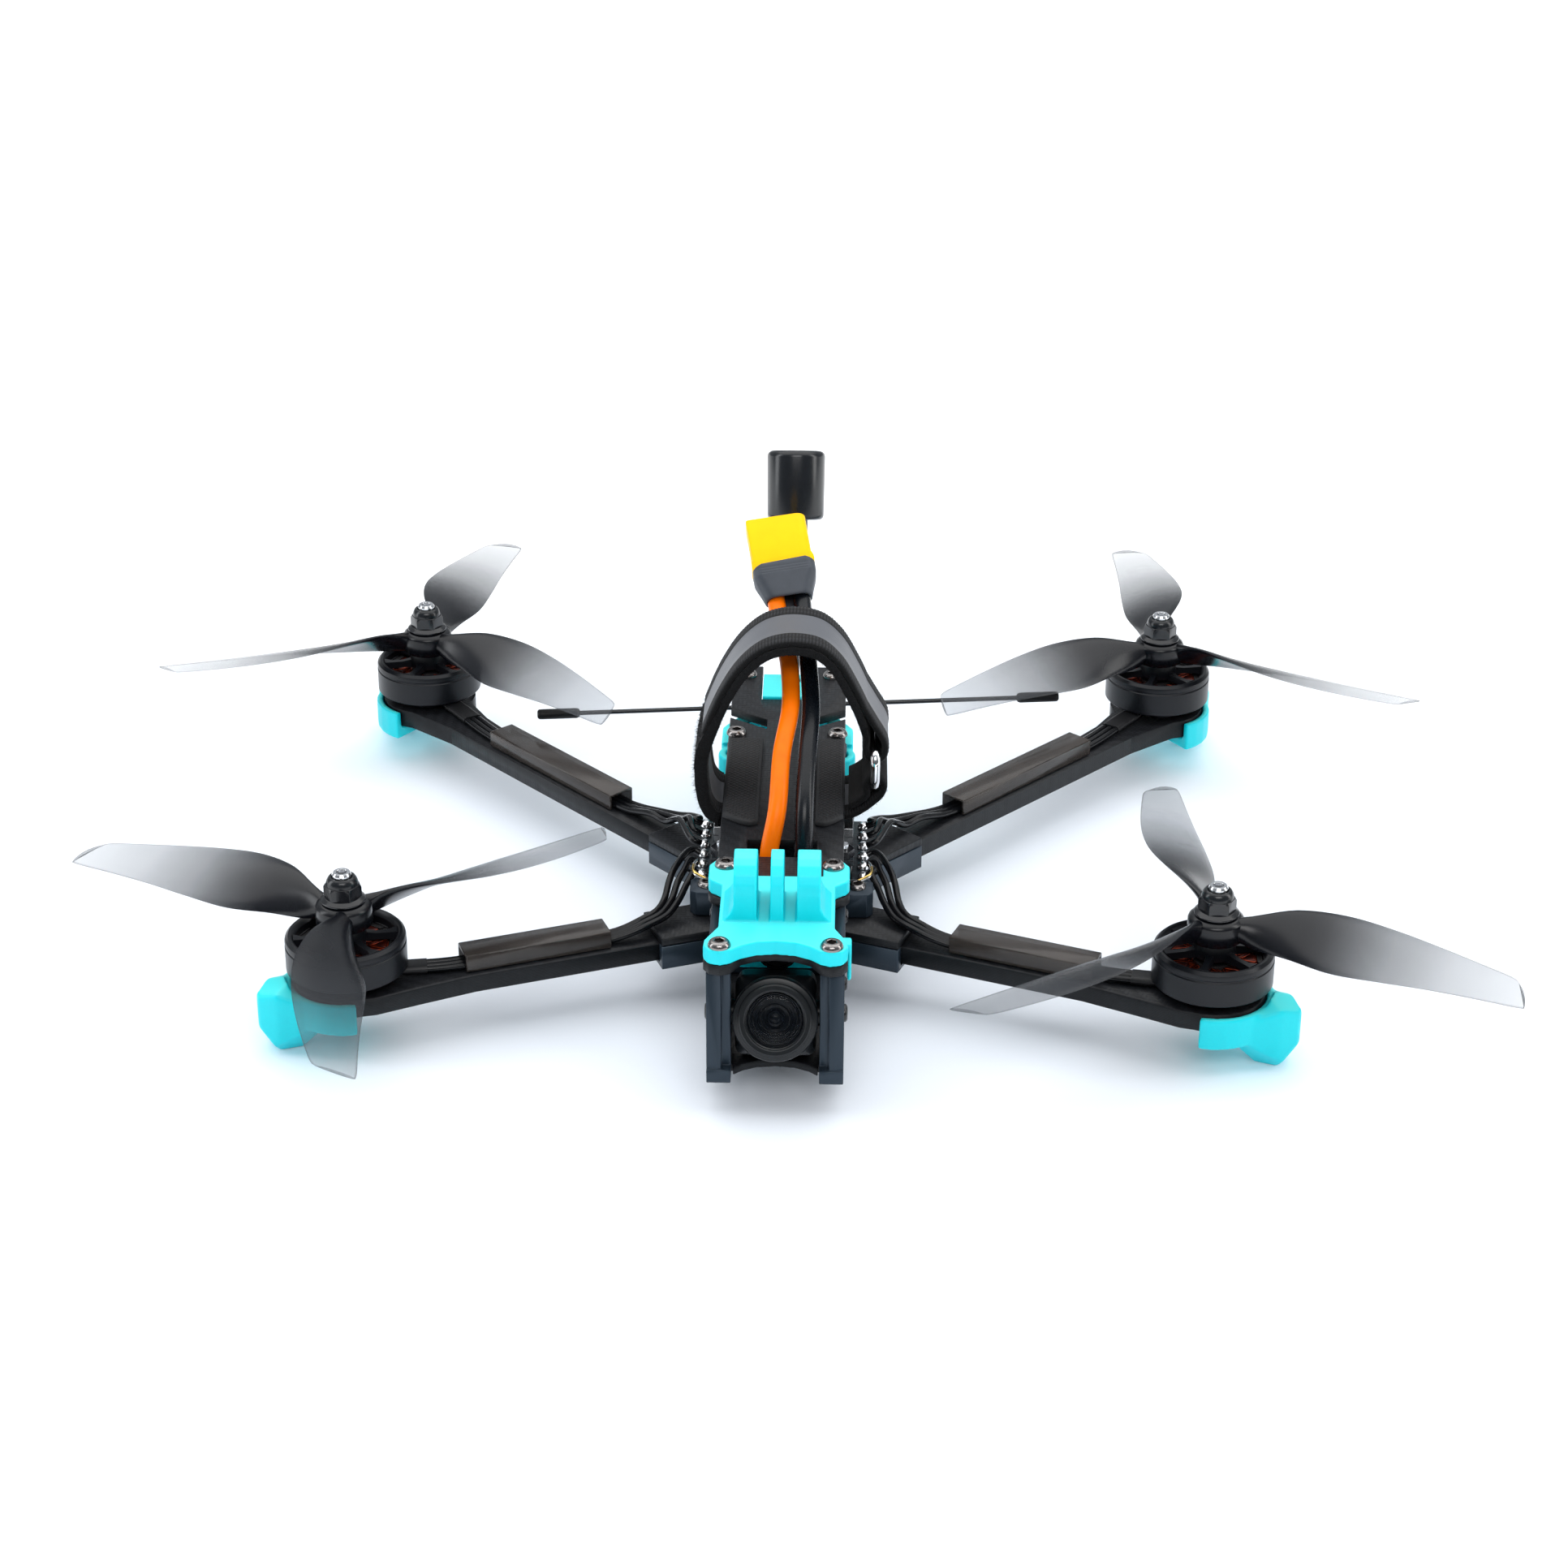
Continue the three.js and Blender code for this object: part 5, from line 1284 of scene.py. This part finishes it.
def make_strap():
    raw, parts = band_line()
    step = 0.26
    line, indices = evenly(raw, step)
    ways = directions(line)
    ways = [sum(ways[max(0, i - 2):i + 3], Vector()).normalized() for i in range(len(ways))]
    half_width = (STRAP_REAR - STRAP_FRONT) / 2
    middle = (STRAP_REAR + STRAP_FRONT) / 2
    rib_pitch = 0.82
    band = Piece("strap_edge", "strap_stripe", "strap_pile")
    # across the band: stations from edge to edge, and how strongly each is ribbed
    stations = [(-1.0, 0.0), (-0.965, 0.6), (-0.86, 1.0), (-0.77, 0.35), (-0.68, 1.0), (-0.56, 0.35),
        (-0.52, 0.0), (-0.26, 0.0), (0.0, 0.0), (0.26, 0.0), (0.52, 0.0), (0.56, 0.35), (0.68, 1.0),
        (0.77, 0.35), (0.86, 1.0), (0.965, 0.6), (1.0, 0.0)]
    rings, ribs = [], []
    for i, (p, along) in enumerate(zip(line, ways)):
        normal = Vector((-along.z, 0, along.x))
        rib = 0.5 + 0.5 * math.sin(2 * math.pi * i * step / rib_pitch)
        worn = 0.1 * math.sin(i * 0.023) + 0.06 * math.sin(i * 0.071 + 1.3)
        row = []
        for face in (1, -1):
            order = stations if face > 0 else stations[::-1]
            for across, ribbed in order:
                edge = 0.45 if abs(across) > 0.99 else 0.8 if abs(across) > 0.95 else 0.94
                if face < 0:
                    edge = min(edge, 0.92) + 0.26 * ribbed * (rib - 0.4)
                    edge -= 0.1 if abs(across) < 0.54 else 0.0
                sideways = Vector((0, middle + (half_width + worn) * across, 0))
                row.append(p + normal * face * edge * BAND_HALF + sideways)
                ribs.append(ribbed * rib)
        rings.append(row)
    points, faces = loft(rings)
    corners = [band.mesh.verts.new(q) for q in points]
    count = len(rings[0])
    for number, face in enumerate(faces):
        made = band.mesh.faces.new([corners[k] for k in face])
        made.smooth = True
        if len(face) > 4:
            continue
        row, column = divmod(number, count)
        # one side is pile; the other is woven, with the stripe down its middle
        woven = column >= len(stations) - 1
        striped = 6 <= column - len(stations) <= 9
        made.material_index = (1 if striped else 0) if woven else 2
    strap = band.finish("battery_strap_band", "airframe", "strap_webbing", ["battery_strap"], sharp=60)
    # the rib heights also set the binding's painted highlight on its ribs
    strap.data.attributes.new("rib", "FLOAT", "POINT").data.foreach_set("value", ribs)
    make_strap_pile(line, ways, indices, parts, middle, half_width)


def make_strap_pile(line, ways, indices, parts, middle, half_width):
    """The pile between the strap's layers and on its bare back, with short loose fibres."""
    pile = Piece("strap_pile")
    # a soft mat under the inner arch, thick enough to fill the fold down the left side
    sections = []
    for p, along, index in zip(line, ways, indices):
        if not parts["arch"] + 8 <= index <= parts["wrap"] - 8:
            continue
        normal = Vector((-along.z, 0, along.x))
        share = (index - parts["arch"]) / (parts["wrap"] - parts["arch"])
        bare = max(0.0, 1 - max(0.0, share - 0.34) / 0.06) if share < 0.4 else 0.0
        thick = 0.25 + 1.35 * bare
        wobble = 0.16 * math.sin(index * 1.9) + 0.12 * math.sin(index * 4.3 + 1)
        row = []
        for across, lift in ((-1.0, -0.75), (-1.02, 0.2), (-0.98, 0.95), (0, 1.0), (0.98, 0.95), (1.02, 0.2),
                             (1.0, -0.75)):
            reach = BAND_HALF + thick + wobble * 0.5 if lift > 0.9 else BAND_HALF * lift
            sideways = Vector((0, middle + (half_width + 0.35 + wobble * 0.5) * across, 0))
            row.append(p + normal * reach + sideways)
        sections.append(row)
    pile.add(loft(sections[::4] + [sections[-1]]))
    fibres = 0
    while fibres < FIBRES:
        i = random.randrange(len(line))
        index = indices[i]
        if index < parts["under"] and random.random() > 0.3:
            continue
        if parts["under"] <= index < parts["arch"]:
            continue
        if index > parts["wrap"] and random.random() > 0.12:
            continue
        p, along = line[i], ways[i]
        normal = Vector((-along.z, 0, along.x))
        on_back = parts["arch"] < index < parts["arch"] + 0.36 * (parts["wrap"] - parts["arch"])
        if not on_back and random.random() < 0.35:
            continue
        if on_back and random.random() < 0.75:
            sideways = Vector((0, middle + random.uniform(-1, 1) * half_width, 0))
            root = p + normal * (BAND_HALF + 1.3) + sideways
            way = (normal + Vector([random.gauss(0, 0.55) for _ in range(3)])).normalized()
            reach = random.uniform(0.6, 1.9)
        else:
            end = -1 if random.random() < 0.6 else 1
            lift = random.uniform(-0.9, 0.9)
            root = p + normal * lift + Vector((0, middle + end * (half_width + 0.1), 0))
            way = (Vector((0, end, 0)) + Vector([random.gauss(0, 0.6) for _ in range(3)])).normalized()
            reach = random.uniform(0.25, 0.8)
        side = way.orthogonal().normalized() * random.uniform(0.035, 0.06)
        other = way.cross(side)
        tip = root + way * reach + Vector((0, 0, -0.12 * reach))
        ring = [root + side, root - side * 0.5 + other * 0.87, root - side * 0.5 - other * 0.87]
        pile.add(([tuple(q) for q in (*ring, tip)], [(0, 2, 1), (0, 1, 3), (1, 2, 3), (2, 0, 3)]))
        fibres += 1
    pile.finish("battery_strap_pile", "airframe", "strap_webbing", sharp=60)


def make_ring():
    middle, reach = (STRAP_FRONT + STRAP_REAR) / 2, 14.2 - RING_WIRE
    x, low, high = LOWER_BAR[0], LOWER_BAR[1], UPPER_BAR[1]
    corner = 3.2
    line = []
    for cy, cz, start in ((reach - corner, high - corner, 0), (-reach + corner, high - corner, 90),
                          (-reach + corner, low + corner, 180), (reach - corner, low + corner, 270)):
        for i in range(9):
            angle = math.radians(start + 90 * i / 8)
            line.append(Vector((x, middle + cy + corner * math.cos(angle), cz + corner * math.sin(angle))))
    rings = []
    for i, p in enumerate(line):
        along = (line[(i + 1) % len(line)] - line[i - 1]).normalized()
        side = Vector((1, 0, 0))
        above = along.cross(side)
        rings.append([p + side * a + above * b for a, b in polygon(16, RING_WIRE)])
    ring = Piece("chrome")
    ring.add(loft(rings, closed=True))
    ring.finish("strap_ring_wire", "airframe", "ring_chrome", ["strap_ring"], sharp=60)


PAD_BASE, PAD_TOP = 41.1, 42.45


def make_pad(side):
    """A thin rubber pad, rounded at its front and embossed with rows of small diamonds."""
    if side == "left":
        inner, outer, front_tip = -6.1, -15.2, (-8.2, -47.3)
    else:
        inner, outer, front_tip = 8.15, 15.2, (10.4, -47.2)
    rear, shoulder = 2.0, -42.6

    def front(x):
        t = abs(x - front_tip[0]) / max(abs(outer - front_tip[0]), 1e-6)
        if abs(x) > abs(front_tip[0]):
            return front_tip[1] + (shoulder - front_tip[1]) * t ** 1.5
        inside = abs(x - front_tip[0]) / abs(inner - front_tip[0])
        return front_tip[1] + 1.1 * inside ** 2

    columns, rows = 56, 260
    pad = Piece("pad")
    grid = []
    for j in range(rows + 1):
        row = []
        for i in range(columns + 1):
            x = inner + (outer - inner) * i / columns
            y = front(x) + (rear - front(x)) * j / rows
            near = min(min(i, columns - i) * abs(outer - inner) / columns,
                       min(j, rows - j) * (rear - front(x)) / rows)
            drop = 0.45 * max(0.0, 1 - near / 0.7) ** 2
            u, v = (x + y) / 1.5, (x - y) / 1.5
            diamond = min(abs(math.sin(math.pi * u)), abs(math.sin(math.pi * v)))
            raised = 0.25 * min(1.0, 1.5 * diamond) if near > 0.8 else 0.0
            row.append((x, y, PAD_TOP - drop + raised))
        grid.append(row)
    points = [p for row in grid for p in row]
    width = columns + 1
    numbers = [[j * width + i for i in range(width)] for j in range(rows + 1)]
    faces = skin(numbers, around=False)
    rim_numbers = [*numbers[0], *[n[-1] for n in numbers[1:]], *numbers[-1][-2::-1],
        *[n[0] for n in numbers[-2:0:-1]]]
    below = []
    for n in rim_numbers:
        x, y, _ = points[n]
        below.append(len(points))
        points.append((x, y, PAD_BASE))
    faces += skin([rim_numbers, below])
    faces.append(below)
    pad.add((points, faces))
    pad.finish("battery_pad_grip_" + side, "airframe", "pad_rubber", ["battery_pad_" + side], sharp=50)


# ---------------------------------------------------------------- aerials
def make_aerials():
    lean = math.radians(20)
    along = Vector((0, math.sin(lean), math.cos(lean)))
    foot = Vector((1, 40.4, 38))
    stalk = Piece("gloss", "shrink", "brass")
    cap, top = 47.6, 66.4
    place = upright_at(foot, along)
    stalk.add(lathe([(0, 0.4), (1.6, 0.4), (1.6, 16), (1.45, 17), (1.45, cap - 9), (1.7, cap - 8.6),
        (1.7, cap - 3), (0, cap - 3)], 24), 1, place)
    collar = [(0, cap - 3.4), (2.8, cap - 3.4), (3.4, cap - 3.0), (3.4, cap + 0.2), (0, cap + 0.2)]
    stalk.add(lathe(collar, 40), 0, place)
    rounding = 1.7
    foot_radius, head_radius = 7.75, 7.95
    profile = [(0, cap), (foot_radius - 1.3, cap)]
    profile += [(foot_radius - 1.3 + 1.3 * math.sin(math.radians(a)),
                 cap + 1.3 - 1.3 * math.cos(math.radians(a))) for a in (30, 60, 90)]
    profile += [(head_radius - rounding + rounding * math.cos(math.radians(a)),
                 top - rounding + rounding * math.sin(math.radians(a))) for a in (0, 15, 30, 45, 60, 75, 90)]
    profile += [(5, top + 0.05), (0, top + 0.1)]
    stalk.add(lathe(profile, 96), 0, place)
    stalk.finish("video_antenna_cap", "airframe", "black_plastic", ["video_antenna"], sharp=50)

    rod = Piece("gloss", "shrink")
    left, right = Vector((-71.2, 54, 24.1)), Vector((75.8, 66, 26.5))
    way = (right - left).normalized()
    rod.add(sweep([left, left.lerp(right, 0.5), right], polygon(14, 0.65)))
    for end, inwards in ((left, way), (right, -way)):
        profile = [(0, 0), (1.0, 0.05), (1.4, 0.5), (1.45, 1.2), (1.45, 11), (1.2, 11.7), (0.7, 12), (0, 12)]
        rod.add(lathe(profile, 24), 1, upright_at(end, inwards))
    rod.finish("control_antenna_rod", "airframe", "black_plastic", ["control_antenna"], sharp=50)


# ---------------------------------------------------------------- making it all
make_frame()
for corner in CORNERS:
    make_motor(corner)
    make_propeller(corner)
    make_motor_wires(corner)
make_camera_unit()
make_electronics()
make_strap()
make_ring()
make_pad("left")
make_pad("right")
make_aerials()
